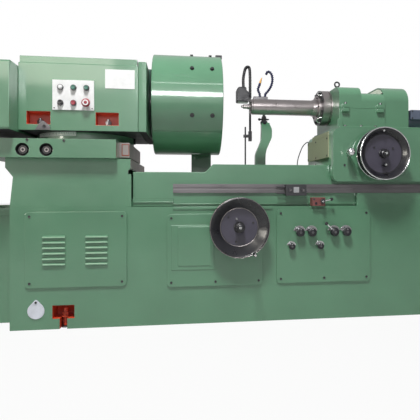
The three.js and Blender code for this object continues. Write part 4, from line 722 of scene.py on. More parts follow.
class GRINDER_OT_bed(bpy.types.Operator):
    """Bed casting with its painted levelling pockets, and the bridge under the workhead"""

    bl_idname = "grinder.bed"
    bl_label = "Bed"

    def execute(self, context):
        bed = extent("bed_casting")
        inset, half, deep, low, high = 252, 53, 80, 50, 119
        feet = [(x, front) for x in (inset, bed.x1 - inset) for front in (True, False)]
        boxes = []
        for x, front in feet:
            span = (-1, deep + 1) if front else (bed.y1 - deep - 1, bed.y1 + 1)
            boxes.append((((x - half, x + half), span, (low, high)), "red"))
            boxes.append((((x - 19, x + 19), span, (-1, high)), "red"))
        casting = Piece()
        casting.casting("bed_casting", "green", edge(), lined=boxes)
        ledge_right, ledge = 1310, (589, 604)
        casting.box((SKIRT_LEFT, ledge_right), (-4, 1), ledge, "green", 2)
        casting.done("Bed_casting", "base", "green_paint", "bed_casting")
        stud, washer, nut, pad, setback = (4, 96), (52, 57), (57, 74), (0.2, 8), 42
        bolts = Piece()
        for x, front in feet:
            foot = (x, setback if front else bed.y1 - setback, 0)
            bolts.rod(10, stud, "z", foot, "red")
            bolts.ring(11, 22, washer, "z", foot, "red", SMALL_STEPS)
            bolts.hexagon(30, nut, "z", foot, "red")
            bolts.rod(24, pad, "z", foot, "dark steel")
        bolts.done("Levelling_bolts", "base", "red_paint")
        bridge = extent("workhead_bridge")
        raised = Piece()
        raised.casting("workhead_bridge", "green", edge(), lined=[
            (((bridge.x1 - 1, bridge.x1 + 1), (20, bridge.y1), (790, bridge.z1 + 1)), "bare iron")])
        joint_strip = ((564, 581), (0.5, 9.5), (606, 770))
        raised.box(*joint_strip, "green", 0.5)
        raised.done("Workhead_bridge", "base", "green_paint", "workhead_bridge")
        return {"FINISHED"}


class GRINDER_OT_panels(bpy.types.Operator):
    """Panels screwed on the front of the bed, with louvres, scale plates and screws"""

    bl_idname = "grinder.panels"
    bl_label = "Front panels"

    def screws(self, piece, box, inset, more=()):
        """Screws in the corners of a panel, and where else it has them."""
        corners = [(x, z) for x in (box.x0 + inset, box.x1 - inset) for z in (box.z0 + inset, box.z1 - inset)]
        washer = (PANEL_FACE - 0.4, PANEL_FACE + 0.3)
        for x, z in (*corners, *more):
            piece.ring(6.5, 8.5, washer, "y", (x, 0, z), "green", SMALL_STEPS, 0.15)
            piece.socket_head(6, 3.2, "y", (x, PANEL_FACE, z), "black iron")

    def cast_panel(self, node):
        """A panel with a screw in each corner and one below its middle."""
        box = extent(node)
        piece = Piece()
        piece.casting(node, "green", edge("sheet_edge"))
        inset = 22
        self.screws(piece, box, inset, [((box.x0 + box.x1) / 2, box.z0 + inset)])
        return piece

    def execute(self, context):
        self.louvre_panel()
        self.drive_panel()
        self.hydraulic_panel()
        self.disc()
        return {"FINISHED"}

    def louvre_panel(self):
        box = extent("louvre_panel")
        piece = Piece()
        piece.prism(rounded_outline(box, 22), "y", (PANEL_FACE, -0.3), "green", edge("sheet_edge"))
        width, height, proud, columns, rows = 108, 15, 9, (156, 360), range(316, 452, 27)
        for left in columns:
            for low in rows:
                slope = near((PANEL_FACE, low), (1, 0), (-proud, 0), (-proud, height * 0.3),
                             (-proud * 0.6, height * 0.75), (1, height))
                piece.prism(slope, "x", (left, left + width), "green", 4.5, 4)
                # A thin black strip under each louvre is painted shade of the opening beneath it
                piece.box((left + 5, left + width - 5), (PANEL_FACE - 0.4, PANEL_FACE + 1), (low - 2.2, low),
                          "black iron", 0.1)
        self.screws(piece, box, 23)
        piece.done("Louvre_panel", "base", "green_paint", "louvre_panel")

    def drive_panel(self):
        piece = self.cast_panel("drive_panel")
        wheel = extent("traverse_handwheel")
        centre = ((wheel.x0 + wheel.x1) / 2, 0, TRAVERSE_HEIGHT)
        piece.ring(15.2, 34, (PANEL_FACE - 6, PANEL_FACE), "y", centre, "green")
        piece.done("Drive_panel", "base", "green_paint", "drive_panel")

    def hydraulic_panel(self):
        piece = self.cast_panel("hydraulic_panel")
        for knob, radius in (
                ("pressure_knob", 34), ("table_speed_knob", 34), ("reversing_lever", 34),
                ("feed_speed_knob", 34), ("left_throttle_knob", 26), ("right_throttle_knob", 26)):
            x, _, z = pivot(knob)
            band = [*arc((x, z), radius, 14, 166, 24), *reversed(arc((x, z), radius * 0.55, 14, 166, 24))]
            piece.prism(band, "y", (PANEL_FACE - 1.4, PANEL_FACE), "chrome", 0.3)
            for degrees in range(26, 155, 16):
                angle = math.radians(degrees)
                tick_x, tick_z = around((x, z), radius * 0.86, angle)
                piece.tick((1, 0.3, 6), (tick_x, PANEL_FACE - 1.5, tick_z), math.pi / 2 - angle, "Y")
        piece.done("Hydraulic_panel", "base", "green_paint", "hydraulic_panel")

    def disc(self):
        box = extent("disc_cover")
        radius = (box.x1 - box.x0) / 2
        x, z = (box.x0 + box.x1) / 2, box.z0 + radius
        rise = 45
        piece = Piece()
        drop = [*arc((x, z), radius, 142, 398, 48), *arc((x, z + rise), 9, 38, 142, 10)]
        piece.prism(drop, "y", (-4.3, -0.3), "grey plate", 0.8)
        piece.rod(5.5, (-7.5, -4), "y", (x, 0, z + rise - 3), "black iron")
        piece.done("Disc_cover", "disc_cover", "grey_plate", "disc_cover")


class GRINDER_OT_valve_controls(bpy.types.Operator):
    """Knobs and reversing lever of the hydraulic panel, and the start valve with its lever"""

    bl_idname = "grinder.valve_controls"
    bl_label = "Valve controls"

    def knob(self, node, radius):
        """A knob with twelve flutes and a white mark."""
        x, _, z = pivot(node)
        front, back = extent(node).y0, KNOB_SEAT
        piece = Piece()
        grip = spun([(0, front), (radius * 0.72, front), (radius * 0.9, front + 2), (radius, front + 7),
                     (radius, back - 10), (radius * 0.86, back - 6), (radius * 0.82, back), (0, back)],
                    "y", (x, 0, z), 48)
        for vert in grip.verts:
            if front + 5 < vert.co.y < back - 8:
                pull = 1 - 0.05 * (1 + math.cos(math.atan2(vert.co.z - z, vert.co.x - x) * 12))
                vert.co.x = x + (vert.co.x - x) * pull
                vert.co.z = z + (vert.co.z - z) * pull
        piece.take(grip, "black plastic")
        piece.rod(radius * 0.3, (front - 0.6, front + 1), "y", (x, 0, z), "dark steel", SMALL_STEPS, 0.3)
        piece.rod(radius * 0.2, (back - 1, -1.5), "y", (x, 0, z), "dark steel")
        mark = (z + radius * 0.52, z + radius * 0.8)
        piece.box((x - 1, x + 1), (front - 0.4, front + 1), mark, "white plate", 0.1)
        piece.done(node.capitalize(), node, "black_plastic", node)

    def execute(self, context):
        for node, radius in (("pressure_knob", 24), ("table_speed_knob", 24), ("feed_speed_knob", 24),
                             ("left_throttle_knob", 18), ("right_throttle_knob", 18)):
            self.knob(node, radius)
        self.reversing_lever()
        self.start_valve()
        return {"FINISHED"}

    def reversing_lever(self):
        box = extent("reversing_lever")
        x, z = 1644, 467
        front, ball = KNOB_SEAT - 30, 9
        lever = Piece()
        lever.turned([
            *near((0, front), (0, 0), (14, 0), (20, 3), (24, 10)), (24, -20), (20, KNOB_SEAT), (0, KNOB_SEAT),
        ], "y", (x, 0, z), "black plastic", 48)
        lever.rod(7, (front - 1, front + 2), "y", (x, 0, z), "dark steel")
        lever.rod(5, (-10, -1.5), "y", (x, 0, z), "dark steel")
        end = (box.x0 + ball, front + 10, box.z1 - ball)
        lever.tube([(x, front + 10, z), end], 4, "chrome", 16)
        lever.ball(ball, end, "black plastic")
        lever.done("Reversing_lever", "reversing_lever", "black_plastic", "reversing_lever")

    def start_valve(self):
        valve = extent("start_valve")
        block = Piece()
        block.box((valve.x0, valve.x1), (valve.y0, valve.y1), (valve.z0, valve.z1), "maroon", 3)
        block.heads(5, 2, "y", (valve.x0 + 9, valve.x1 - 9), (valve.z1 - 9,), valve.y0 + 0.5)
        block.rod(7, (valve.y0 - 1.5, valve.y0 + 1), "y", (valve.x0 + 20, 0, valve.z0 + 14), "black plastic")
        block.done("Start_valve", "base", "red_paint", "start_valve")
        hub, boss, ball = Vector((1575, -34.3, 630)), (-6, 6), 9
        handle = Piece()
        handle.rod(12, boss, "y", hub, "black iron")
        handle.rod(5, (boss[0] - 1.7, boss[0] + 0.3), "y", hub, "chrome")
        end = (extent("start_lever").x1 - ball, hub.y, 641)
        handle.tube([hub, end], 3.5, "chrome", 16)
        handle.ball(ball, end, "black plastic")
        handle.done("Start_lever", "start_lever", "black_plastic", "start_lever")


class GRINDER_OT_table(bpy.types.Operator):
    """Sliding table with its dog rail and trip dog"""

    bl_idname = "grinder.table"
    bl_label = "Table"

    def execute(self, context):
        box = extent("table_casting")
        left = box.x0 - 8
        table = Piece()
        table.casting("table_casting", "green", edge() * 0.75)
        for x, y, z, bevel in (
                ((SKIRT_LEFT, box.x1), (box.y0 - 3, box.y0 + 3), (615, 619), 1.5),
                ((SKIRT_LEFT + 1, box.x1 - 1), (box.y0 + 1, box.y0 + 8), (606.5, 618), 1),
                ((left, SKIRT_LEFT), (20.5, 32), (607, 653), 1),
                ((left, box.x0 + 2), (20.2, 468), (650, 782.5), 2),
                ((left, SKIRT_LEFT), (15, 22), (625, 630), 1.5)):
            table.box(x, y, z, "green", bevel)
        table.done("Table", "table", "green_paint", "table_casting")
        rail = Piece()
        rail.casting("dog_rail", "ground rail", 0.6)
        rail.done("Dog_rail", "table", "steel", "dog_rail")
        dog = extent("trip_dog")
        block = Piece()
        block.casting("trip_dog", "black iron", 1.5)
        block.heads(8, 5, "y", (1400, 1470), (690,), dog.y0 + 0.5, "dark steel")
        block.box((1420, 1450), (dog.y0 - 2, dog.y0 + 1), (676, 706), "chrome", 0.6)
        block.done("Trip_dog", "trip_dog", "dark_steel", "trip_dog")
        return {"FINISHED"}


class GRINDER_OT_cross_feed(bpy.types.Operator):
    """Cross-feed box with its cover, pull knob, graduated collar, handwheel and handle"""

    bl_idname = "grinder.cross_feed"
    bl_label = "Cross feed"

    def execute(self, context):
        self.box()
        self.pull_knob()
        self.handwheel()
        self.handle()
        return {"FINISHED"}

    def box(self):
        outer = extent("cross_feed_box")
        left = outer.x0 + 5
        box = Piece()
        box.casting("cross_feed_box", "green", 3.0, 3,
                    wide=[(((1620, 2330), (outer.y0 - 1, outer.y0 + 1), (730, 980)), 28)])
        cover = (outer.x0 - 1.5, left + 1)
        box.box(cover, (30, 392), (868, 986), "olive", 0.8)
        box.box(cover, (30, 300), (986.5, 1010), "olive", 0.8)
        box.heads(4.5, 3, "x", (42, 231, 380), (880, 974), cover[0])
        box.socket_head(6, 3, "y", (1696, outer.y0, 823), "black iron")
        pipe = smooth_route([(outer.x0 - 1, 372, 985), (outer.x0 - 12, 376, 990), (outer.x0 - 40, 380, 960),
                             (outer.x0 - 66, 384, 890), (outer.x0 - 74, 386, 828)])
        box.tube(pipe, 3, "black iron")
        pad_top = 834
        box.rod(6, (825.2, pad_top), "z", (outer.x0 - 74, 386, 0), "chrome")
        box.box((left - 68, left - 6), (150, 330), (825.4, pad_top), "bare iron", 1.5)
        box.heads(8, 6, "z", (left - 36,), (170, 310), pad_top, "dark steel", 1)
        width, depth = (outer.x1 - 60, outer.x1 - 14), (outer.y0 - 1.2, outer.y0 + 1)
        for height in ((821, 893), (941, 990)):
            box.box(width, depth, height, "white plate", 0.4)
        box.done("Cross_feed_box", "table", "green_paint", "cross_feed_box")

    def pull_knob(self):
        box = extent("push_pull_knob")
        face = -44
        knob = Piece()
        knob.turned([
            *near((0, box.y0), (0, 0), (9, 0), (17, 4), (22, 13), (23, 21), (20, 31)),
            (12, face - 4), (8, face), (8, box.y1), (0, box.y1),
        ], "y", (1713, 0, 890), "chrome", 64)
        knob.done("Push_pull_knob", "push_pull_knob", "chrome", "push_pull_knob")

    def handwheel(self):
        x, z = 1886, 881
        box = extent("feed_handwheel")
        centre = (x, 0, z)
        back, rim, radius, floor = -76, -110, 138, 104
        wheel = Piece()
        wheel.turned([
            *near((0, back), (0, -44), (12, -44), (15, -42), (17, -36), (22, -34), (22, -10), (26, -8)),
            *near((floor, back), (-4, -8), (3, -10)),
            *near((radius, rim), (-17, 7), (-11, 1.5), (-7, 0), (-3, 1.2), (0, 5), (-0.5, 12), (-5, 17)),
            *near((floor, back), (10, -1), (4, 0)), (22, back), (12, back), (12, box.y1), (0, box.y1),
        ], "y", centre, "black paint", 128)
        wheel.turned(arc((radius - 2.6, rim + 3), 3.2, 0, 337.5, 15), "y", centre, "chrome", 128, closed=True)
        wheel.ring(26, floor - 3, (back - 8.4, back - 7), "y", centre, "wheel floor", 128, 0.2)
        wheel.ring(40, 112, (back + 12, back + 38), "y", centre, "chrome", 128, 1.5)
        wheel.ring(60, 136.5, (back + 13, back + 21), "y", centre, "chrome", 128, 1.0)
        for number in range(100):
            angle = FULL_TURN * number / 100
            length = 7 if number % 5 == 0 else 4
            tick_x, tick_z = around((x, z), 112.2, angle)
            wheel.tick((1, length, 0.4), (tick_x, back + 36 - length / 2, tick_z), math.pi / 2 - angle, "Y")
        wheel.rod(6, (back - 47, back - 43), "y", centre, "chrome")
        wheel.screw_circle(5, 4, "y", (x, z), back - 8, 3, 60, 0.5)
        wheel.rod(5, (rim - 1, rim + 6), "y", (x - 8, 0, z + radius - 20), "chrome")
        wheel.done("Feed_handwheel", "feed_handwheel", "black_paint", "feed_handwheel")

    def handle(self):
        box = extent("feed_handle")
        centre = (1882, 0, 821)
        grip = Piece()
        grip.turned([
            *near((0, box.y0), (0, 0), (6, 0), (9, 2), (12, 10), (12.5, 18), (10, 30)), (8, box.y1 - 3),
            (6.5, box.y1), (0, box.y1),
        ], "y", centre, "black plastic", 48)
        grip.rod(5, (box.y0 - 0.8, box.y0 + 1), "y", centre, "chrome")
        grip.done("Feed_handle", "feed_handle", "black_plastic", "feed_handle")


class GRINDER_OT_traverse_wheel(bpy.types.Operator):
    """Dished handwheel of the table traverse with its grip"""

    bl_idname = "grinder.traverse_wheel"
    bl_label = "Traverse handwheel"

    def execute(self, context):
        box = extent("traverse_handwheel")
        x, z = (box.x0 + box.x1) / 2, TRAVERSE_HEIGHT
        centre = (x, 0, z)
        back, rim, radius, floor = -30, -74, 155, 98
        wheel = Piece()
        wheel.turned([
            *near((0, back), (0, -62), (13, -62), (17, -60), (19, -52), (24, -50), (24, -12), (28, -9)),
            *near((floor, back), (-4, -9), (3, -11)),
            *near((radius, rim), (-20, 8), (-13, 2), (-8, 0), (-3, 1.5), (0, 6), (-0.5, 14), (-6, 20)),
            *near((floor, back), (10, -1), (4, 0)), (24, back), (14, back), (14, 45), (25, 45), (25, 71),
            (14, 71), (14, box.y1), (0, box.y1),
        ], "y", centre, "black paint", 128)
        wheel.ring(26, 30, (back - 12, back - 8.5), "y", centre, "black iron", 64)
        wheel.ring(30, floor - 3, (back - 9.4, back - 8), "y", centre, "wheel floor", 128, 0.2)
        # Thin steel beads at the rim's edge and the floor's edge are painted highlights: they draw bright
        # lines there
        for place in ((radius - 2.6, rim + 0.8), (floor, back - 9.8)):
            wheel.turned(arc(place, 0.9, 0, 315, 7), "y", centre, "steel", 128, closed=True)
        wheel.rod(7, (back - 65, back - 60), "y", centre, "chrome")
        wheel.rod(6, (back - 14, back - 8), "y", (x - 14, 0, z + 42), "chrome")
        wheel.screw_circle(5, 4, "y", (x, z), back - 9, 3, 76, 0.3)
        grip = (x + 68, 0, z - 131)
        wheel.turned([
            *near((0, box.y0), (0, 0), (6, 0), (8, 2), (9, 12), (8.6, 30)),
            *near((0, rim), (6, -6), (5, 4), (0, 4)),
        ], "y", grip, "black plastic", 48)
        wheel.rod(6, (box.y0 - 0.2, box.y0 + 2), "y", grip, "chrome")
        wheel.rod(8, (rim - 6, rim + 5), "y", grip, "chrome")
        wheel.done("Traverse_handwheel", "traverse_handwheel", "black_paint", "traverse_handwheel")
        return {"FINISHED"}


class GRINDER_OT_wheelhead(bpy.types.Operator):
    """Wheelhead housing, cap, lifting eye, flanged quill and grinding spindle"""

    bl_idname = "grinder.wheelhead"
    bl_label = "Wheelhead"

    def execute(self, context):
        housing = extent("wheelhead_housing")
        cap = extent("wheelhead_cap")
        low = Piece()
        low.casting("wheelhead_housing", "green", 3.0, 3)
        high = Piece()
        high.casting("wheelhead_cap", "green", 3.0, 3, lined=[
            (((1770, 1820), (AXIS_Y - 25, AXIS_Y + 25), (1304, 1370)), "black iron")])
        front, rear, parting = cap.y0, cap.y1, 1162
        for x in (cap.x0 + 34, cap.x1 - 34):
            for face, out in ((front, -1), (rear, 1)):
                reach = sorted((face - out * 4, face + out * 16))
                low.box((x - 20, x + 20), reach, (parting - 24, parting - 0.2), "green", 3)
                high.box((x - 20, x + 20), reach, (parting + 0.2, parting + 22), "green", 3)
                high.socket_head(9, 8, "z", (x, face + out * 7, parting + 22), "dark steel", 1)
        high.box((cap.x0 + 6, cap.x0 + 126), (AXIS_Y - 86, AXIS_Y + 86), (1292, 1299), "green", 2)
        high.ring(7.2, 18, (1293, 1305), "z", (1795, AXIS_Y, 0), "black iron", 48)
        high.heads(7, 9, "z", (1874, 1896), (AXIS_Y - 110,), 1262, "chrome", 1)
        low.box((housing.x0 + 26, housing.x1 - 20), (housing.y0 - 3, housing.y0 + 2), (1022, 1030),
                "green", 1)
        low.box((1716, 1748), (front - 12, front + 6), (1047, 1100), "green", 4)
        low.heads(8, 8, "z", (1745, 1840, 1925), (housing.y0 + 22,), housing.z0 + 27.8, "dark steel", 1)
        low.done("Wheelhead_housing", "wheelhead", "green_paint", "wheelhead_housing")
        high.done("Wheelhead_cap", "wheelhead", "green_paint", "wheelhead_cap")
        self.quill()
        self.spindle()
        return {"FINISHED"}

    def quill(self):
        box = extent("quill")
        tip, flange, face = box.x0, 1672, 1729.7
        middle = (AXIS_Y, AXIS_Z)
        quill = Piece()
        quill.turned([
            (30, tip), (41, tip), (44, tip + 3), (44, tip + 11), (47, tip + 13),
            *near((0, flange), (47, -46), (50, -40), (52, -17), (75, -16), (76, -14), (76, 0), (103, 0),
                  (105.5, 2.5)),
            *near((0, face), (105.5, -16), (101, -14), (101, -10), (105.5, -8), (105.5, 0), (52, 0)),
            (52, box.x1), (30, box.x1),
        ], "x", SPINDLE_LINE, "steel", 128, closed=True)
        quill.ring(76.5, 106, (flange - 0.6, flange + 1.4), "x", SPINDLE_LINE, "dark steel", 128, 0.3)
        quill.screw_circle(8, 8, "x", middle, flange, 8, 91, math.pi / 8)
        quill.screw_circle(5, 5, "x", middle, flange - 16, 6, 64, 0)
        for degrees in (130, 236):
            turn = math.radians(degrees)
            y, z = around(middle, 98, turn)
            loop = [(flange + 4 - 30 * math.sin(a), y + 22 * math.cos(a) * math.sin(turn),
                     z - 22 * math.cos(a) * math.cos(turn)) for a in (math.pi * i / 16 for i in range(17))]
            quill.tube(loop, 4, "chrome", 14)
        quill.done("Quill", "wheelhead", "steel", "quill")

    def spindle(self):
        tip, end = extent("grinding_spindle").x0, 2160
        arbor = Piece()
        arbor.turned([
            *near((0, tip), (0, 0), (5.5, 0), (7, 1.5), (7, 10), (12, 12), (13, 14)), (13, 1228), (16, 1230),
            (16, 1240), (13, 1241), (13, 1244.7), (20, 1244.7), (20, 2030), (45, 2030), (45, 2080),
            (20, 2080), (20, end), (0, end),
        ], "x", SPINDLE_LINE, "steel", 64)
        arbor.turned([(0, end), (19, end), (19, end + 14), (15, end + 18), (0, end + 18)], "x", SPINDLE_LINE,
                     "black plastic", 48)
        arbor.done("Grinding_spindle", "grinding_spindle", "steel", "grinding_spindle")


class GRINDER_OT_wheel_drive(bpy.types.Operator):
    """Belt cover, grinding motor, pulleys and belt behind the wheelhead"""

    bl_idname = "grinder.wheel_drive"
    bl_label = "Wheel drive"

    def execute(self, context):
        box = extent("belt_cover")
        cover = Piece()
        cover.casting("belt_cover", "green", 2.5, 3)
        # The cream plate on the left end is painted light, standing for the cover's lit left face
        lid = [*arc((box.y1 - 100, 1208), 92, 37.5, 90, 8), *arc((box.y0 + 100, 1208), 92, 90, 142.5, 8)]
        cover.prism(lid, "x", (box.x0 + 0.5, box.x0 + 3), "label cream", 0.5)
        cover.ring(22, 40, (box.x1 - 1, box.x1 + 0.8), "x", SPINDLE_LINE, "green", 64, 0.4)
        for z in (1064, 1190):
            cover.heads(5, 3, "x", (box.y0 + 18, box.y1 - 18), (z,), box.x1, outwards=1)
        cover.done("Belt_cover", "wheelhead", "green_paint", "belt_cover")
        self.motor()
        repaint("rubber", "wheelhead_belt")
        repaint("steel", "spindle_bearing_front", "spindle_bearing_rear", "wheelhead_motor_pulley")
        return {"FINISHED"}

    def motor(self):
        box = extent("wheelhead_motor")
        centre = Vector((0, 235, 1108))
        left, right, radius = box.x0, box.x1, 58
        motor = Piece()
        motor.turned([
            (12.6, left), (40, left), (51, left + 4), *near((radius, left), (0, 10), (0, 26), (-6, 28)),
            *near((radius, right), (-6, -70), (0, -68), (0, -12), (-8, 0)), (0, right), (0, right - 14),
            (12.6, right - 14),
        ], "x", centre, "motor blue")
        middle = centre + Vector(((left + right - 42) / 2, 0, 0))
        for fin in range(24):
            turn = Matrix.Translation(middle) @ Matrix.Rotation(FULL_TURN * fin / 24, 4, "X")
            motor.box((-59, 59), (radius - 8, radius - 0.5), (-1.6, 1.6), "motor blue", 0.5, turn=turn)
        lid = centre.y - radius - 16
        motor.box((left + 16, left + 112), (lid, centre.y - radius / 2), (centre.z + 2, centre.z + 60),
                  "motor blue", 4)
        motor.heads(4, 3, "y", (left + 25, left + 103), (centre.z + 11, centre.z + 51), lid)
        for x in ((left + 36, left + 76), (right - 76, right - 36)):
            motor.box(x, (centre.y - 50, centre.y + 50), (1047.4, 1060), "motor blue", 3)
            motor.box(x, (centre.y - 35, centre.y + 35), (1055, 1080), "motor blue", 3)
        motor.done("Grinding_motor", "wheelhead", "blue_paint", "wheelhead_motor")


class GRINDER_OT_workhead_slide(bpy.types.Operator):
    """Cross slide under the workhead with its clamp bolts"""

    bl_idname = "grinder.workhead_slide"
    bl_label = "Workhead slide"

    def execute(self, context):
        box = extent("workhead_cross_slide")
        slide = Piece()
        bolts, height, bore = (73, 183), 886, 33
        # The bores are lined in black iron: painted shade on their walls, and the dark iron of the bolt faces
        # inside them
        slide.casting("workhead_cross_slide", "green", edge(), lined=[
            (((x - bore, x + bore), (box.y0 + 1, box.y0 + 36), (height - bore, height + bore)), "black iron")
            for x in bolts])
        for x in bolts:
            slide.socket_head(20.5, 25, "y", (x, box.y0 + 33, height), "dark steel")
            slide.ring(6, 11, (box.y0 + 6.5, box.y0 + 9), "y", (x, 0, height), "steel", SMALL_STEPS, 0.4)
        for x, z in ((96, 933), (266, 931)):
            slide.socket_head(6, 4, "y", (x, box.y0 + 0.2, z), "black iron")
        slide.box((box.x1 - 2, box.x1 + 52), (60, 560), (858, 936), "bare iron", 2.5)
        slide.box((box.x1 + 12, box.x1 + 50), (57, 62), (868, 928), "red", 1)
        slide.box((box.x1 + 16, box.x1 + 47), (55.5, 60), (872, 924), "bare iron", 1)
        slide.done("Workhead_cross_slide", "workhead_slide", "green_paint", "workhead_cross_slide")
        return {"FINISHED"}


class GRINDER_OT_workhead(bpy.types.Operator):
    """Swivelling workhead housing with clamp windows, scale, plates and the belt box at its end"""

    bl_idname = "grinder.workhead"
    bl_label = "Workhead"

    def execute(self, context):
        end = extent("workhead_end_box")
        head = Piece()
        head.casting("workhead_housing", "green", 3.5, 3, lined=[
            *((((x - 1, x + 111), (-1, 43), (1015, 1079)), "red") for x in (79, 408)),
            # The housing's underside strip is lined in black iron as painted shade under the housing
            (((38, 617), (-1, 562), (983, 986)), "black iron"),
            # The nose boss at the housing's right end is painted near-black: painted shade of the gap between
            # housing and guard
            (((615.5, 662), (100, 560), (950, 1420)), "dark enamel")])
        bracket = [(118, 986), (190, 986), (190, 1004), (162, 1030), (146, 1030)]
        head.prism(bracket, "y", (-6, -0.3), "dark steel", 1.5)
        head.socket_head(7, 5, "y", (163, -6, 1004), "black iron")
        middle, low, high = (AXIS_Y, AXIS_Z), 986, 1342
        front = [(1.5, low), (AXIS_Y, low), *arc(middle, 86, -90, -270, 24), (AXIS_Y, high), (1.5, high)]
        rear = [(AXIS_Y, low), (560, low), (560, high), (AXIS_Y, high), *arc(middle, 86, 90, -90, 24)]
        for half in (front, rear):
            head.prism(half, "x", (616, 656), "matt green", 2)
        # A near-black strip under the flange: painted shade under it, carried on from the housing's underside
        head.box((618, 654), (4, 558), (984.4, 987), "rubber")
        washer, nut, stud = (1016.4, 1021), (1021, 1037), (1016.4, 1048)
        for foot in ((136, 22, 0), (466, 22, 0)):
            head.ring(8.5, 17, washer, "z", foot, "dark steel", SMALL_STEPS)
            head.hexagon(26, nut, "z", foot, "dark steel")
            head.rod(8, stud, "z", foot, "dark steel")
        blank_plate = ((453, 598), (-1.6, 0.4), (1201, 1297))
        head.box(*blank_plate, "white plate", 0.4)
        self.scale(head)
        head.done("Workhead_housing", "workhead", "green_paint", "workhead_housing")
        cover = Piece()
        # The end box's underside is lined in black iron as painted shade under the box
        cover.casting("workhead_end_box", "green", 3.0, 3, lined=[
            (((end.x0 + 1, end.x1 - 1), (end.y0 + 1, end.y1 - 1), (end.z0 - 1, end.z0 + 2)), "black iron")])
        cover.heads(6, 4, "x", (end.y0 + 22, end.y1 - 22), (end.z0 + 22, end.z1 - 22), end.x0 + 0.2)
        cover.done("Workhead_end_box", "workhead", "green_paint", "workhead_end_box")
        repaint("rubber", "workhead_belt")
        repaint("motor blue", "workhead_motor")
        repaint("steel", "workhead_bearing_rear", "workhead_bearing_front", "workhead_motor_pulley")
        return {"FINISHED"}

    def scale(self, head):
        """Degree scale round the swivel base."""
        centre, radius = (300, 290, 0), 258
        band = [(radius - 2, 964), (radius + 1.6, 964), (radius + 1.6, 984), (radius - 2, 984)]
        head.turned(band, "z", centre, "white plate", 48, closed=True, angle=math.radians(53.5),
                    start=math.radians(217.5))
        pointer = Matrix.Translation(centre) @ Matrix.Rotation(math.radians(241), 4, "Z")
        head.box((radius, radius + 6), (-7, 7), (952, 984), "black iron", 1.5, turn=pointer)
        for number in range(27):
            angle = math.radians(218.5 + 2 * number)
            length = 12 if number % 5 == 0 else 7
            tick_x, tick_y = around(centre, radius + 1.8, angle)
            head.tick((0.6, 1.2, length), (tick_x, tick_y, 982 - length / 2), angle, "Z")


class GRINDER_OT_buttons(bpy.types.Operator):
    """Push buttons on their white plate"""

    bl_idname = "grinder.buttons"
    bl_label = "Push buttons"

    def execute(self, context):
        box = extent("button_plate")
        plate_face = box.y1 - 6
        seat = plate_face - 5.5
        columns, rows = (240, 302, 364), (1198, 1122)
        plate = Piece()
        plate.box((box.x0, box.x1), (plate_face, box.y1), (box.z0, box.z1), "white plate", 0.8)
        collar = (plate_face - 8, plate_face + 0.5)
        for x in columns:
            for z in rows:
                plate.ring(11.4, 14.5, collar, "y", (x, 0, z), "dark steel", 48, 1.0)
        plate.turned(near((0, plate_face), (0, -15), (7, -14.4), (10, -12), (11, -8), (11, 0), (0, 0)),
                     "y", (columns[0], 0, rows[0]), "white plate", 48)
        plate.heads(3, 1.6, "y", (box.x0 + 9, box.x1 - 9), (box.z0 + 9,), plate_face)
        plate.done("Button_plate", "workhead", "white_plate", "button_plate")
        for node, x, z, colour, slot in (
                ("green_button_left", columns[1], rows[0], "green plastic", "green_plastic"),
                ("green_button_right", columns[2], rows[0], "green plastic", "green_plastic"),
                ("black_button", columns[0], rows[1], "black plastic", "black_plastic"),
                ("red_button", columns[1], rows[1], "red plastic", "red_plastic")):
            cap = extent(node)
            button = Piece()
            button.turned([*near((0, cap.y0), (0, 1.2), (7, 0.8), (9.4, 0), (10.6, 1), (10.8, 2.4)),
                           (10.8, seat), (0, seat)], "y", (x, 0, z), colour, 48)
            button.done(node.capitalize(), node, slot, node)
        cap = extent("stop_mushroom")
        back = cap.y0 + 12
        centre = (columns[2], 0, rows[1])
        mushroom = Piece()
        mushroom.turned([
            *near((0, cap.y0), (0, 0), (8, 0.5), (15, 2.5), (20, 6.5), (21, 9)),
            (20.5, back - 0.6), (19, back), (11, back), (10.8, seat), (0, seat),
        ], "y", centre, "red plastic", 64)
        mushroom.ring(8, 14, (cap.y0 + 0.2, cap.y0 + 3), "y", centre, "white plate", 48, 0.4)
        mushroom.done("Stop_mushroom", "stop_mushroom", "red_plastic", "stop_mushroom")
        return {"FINISHED"}


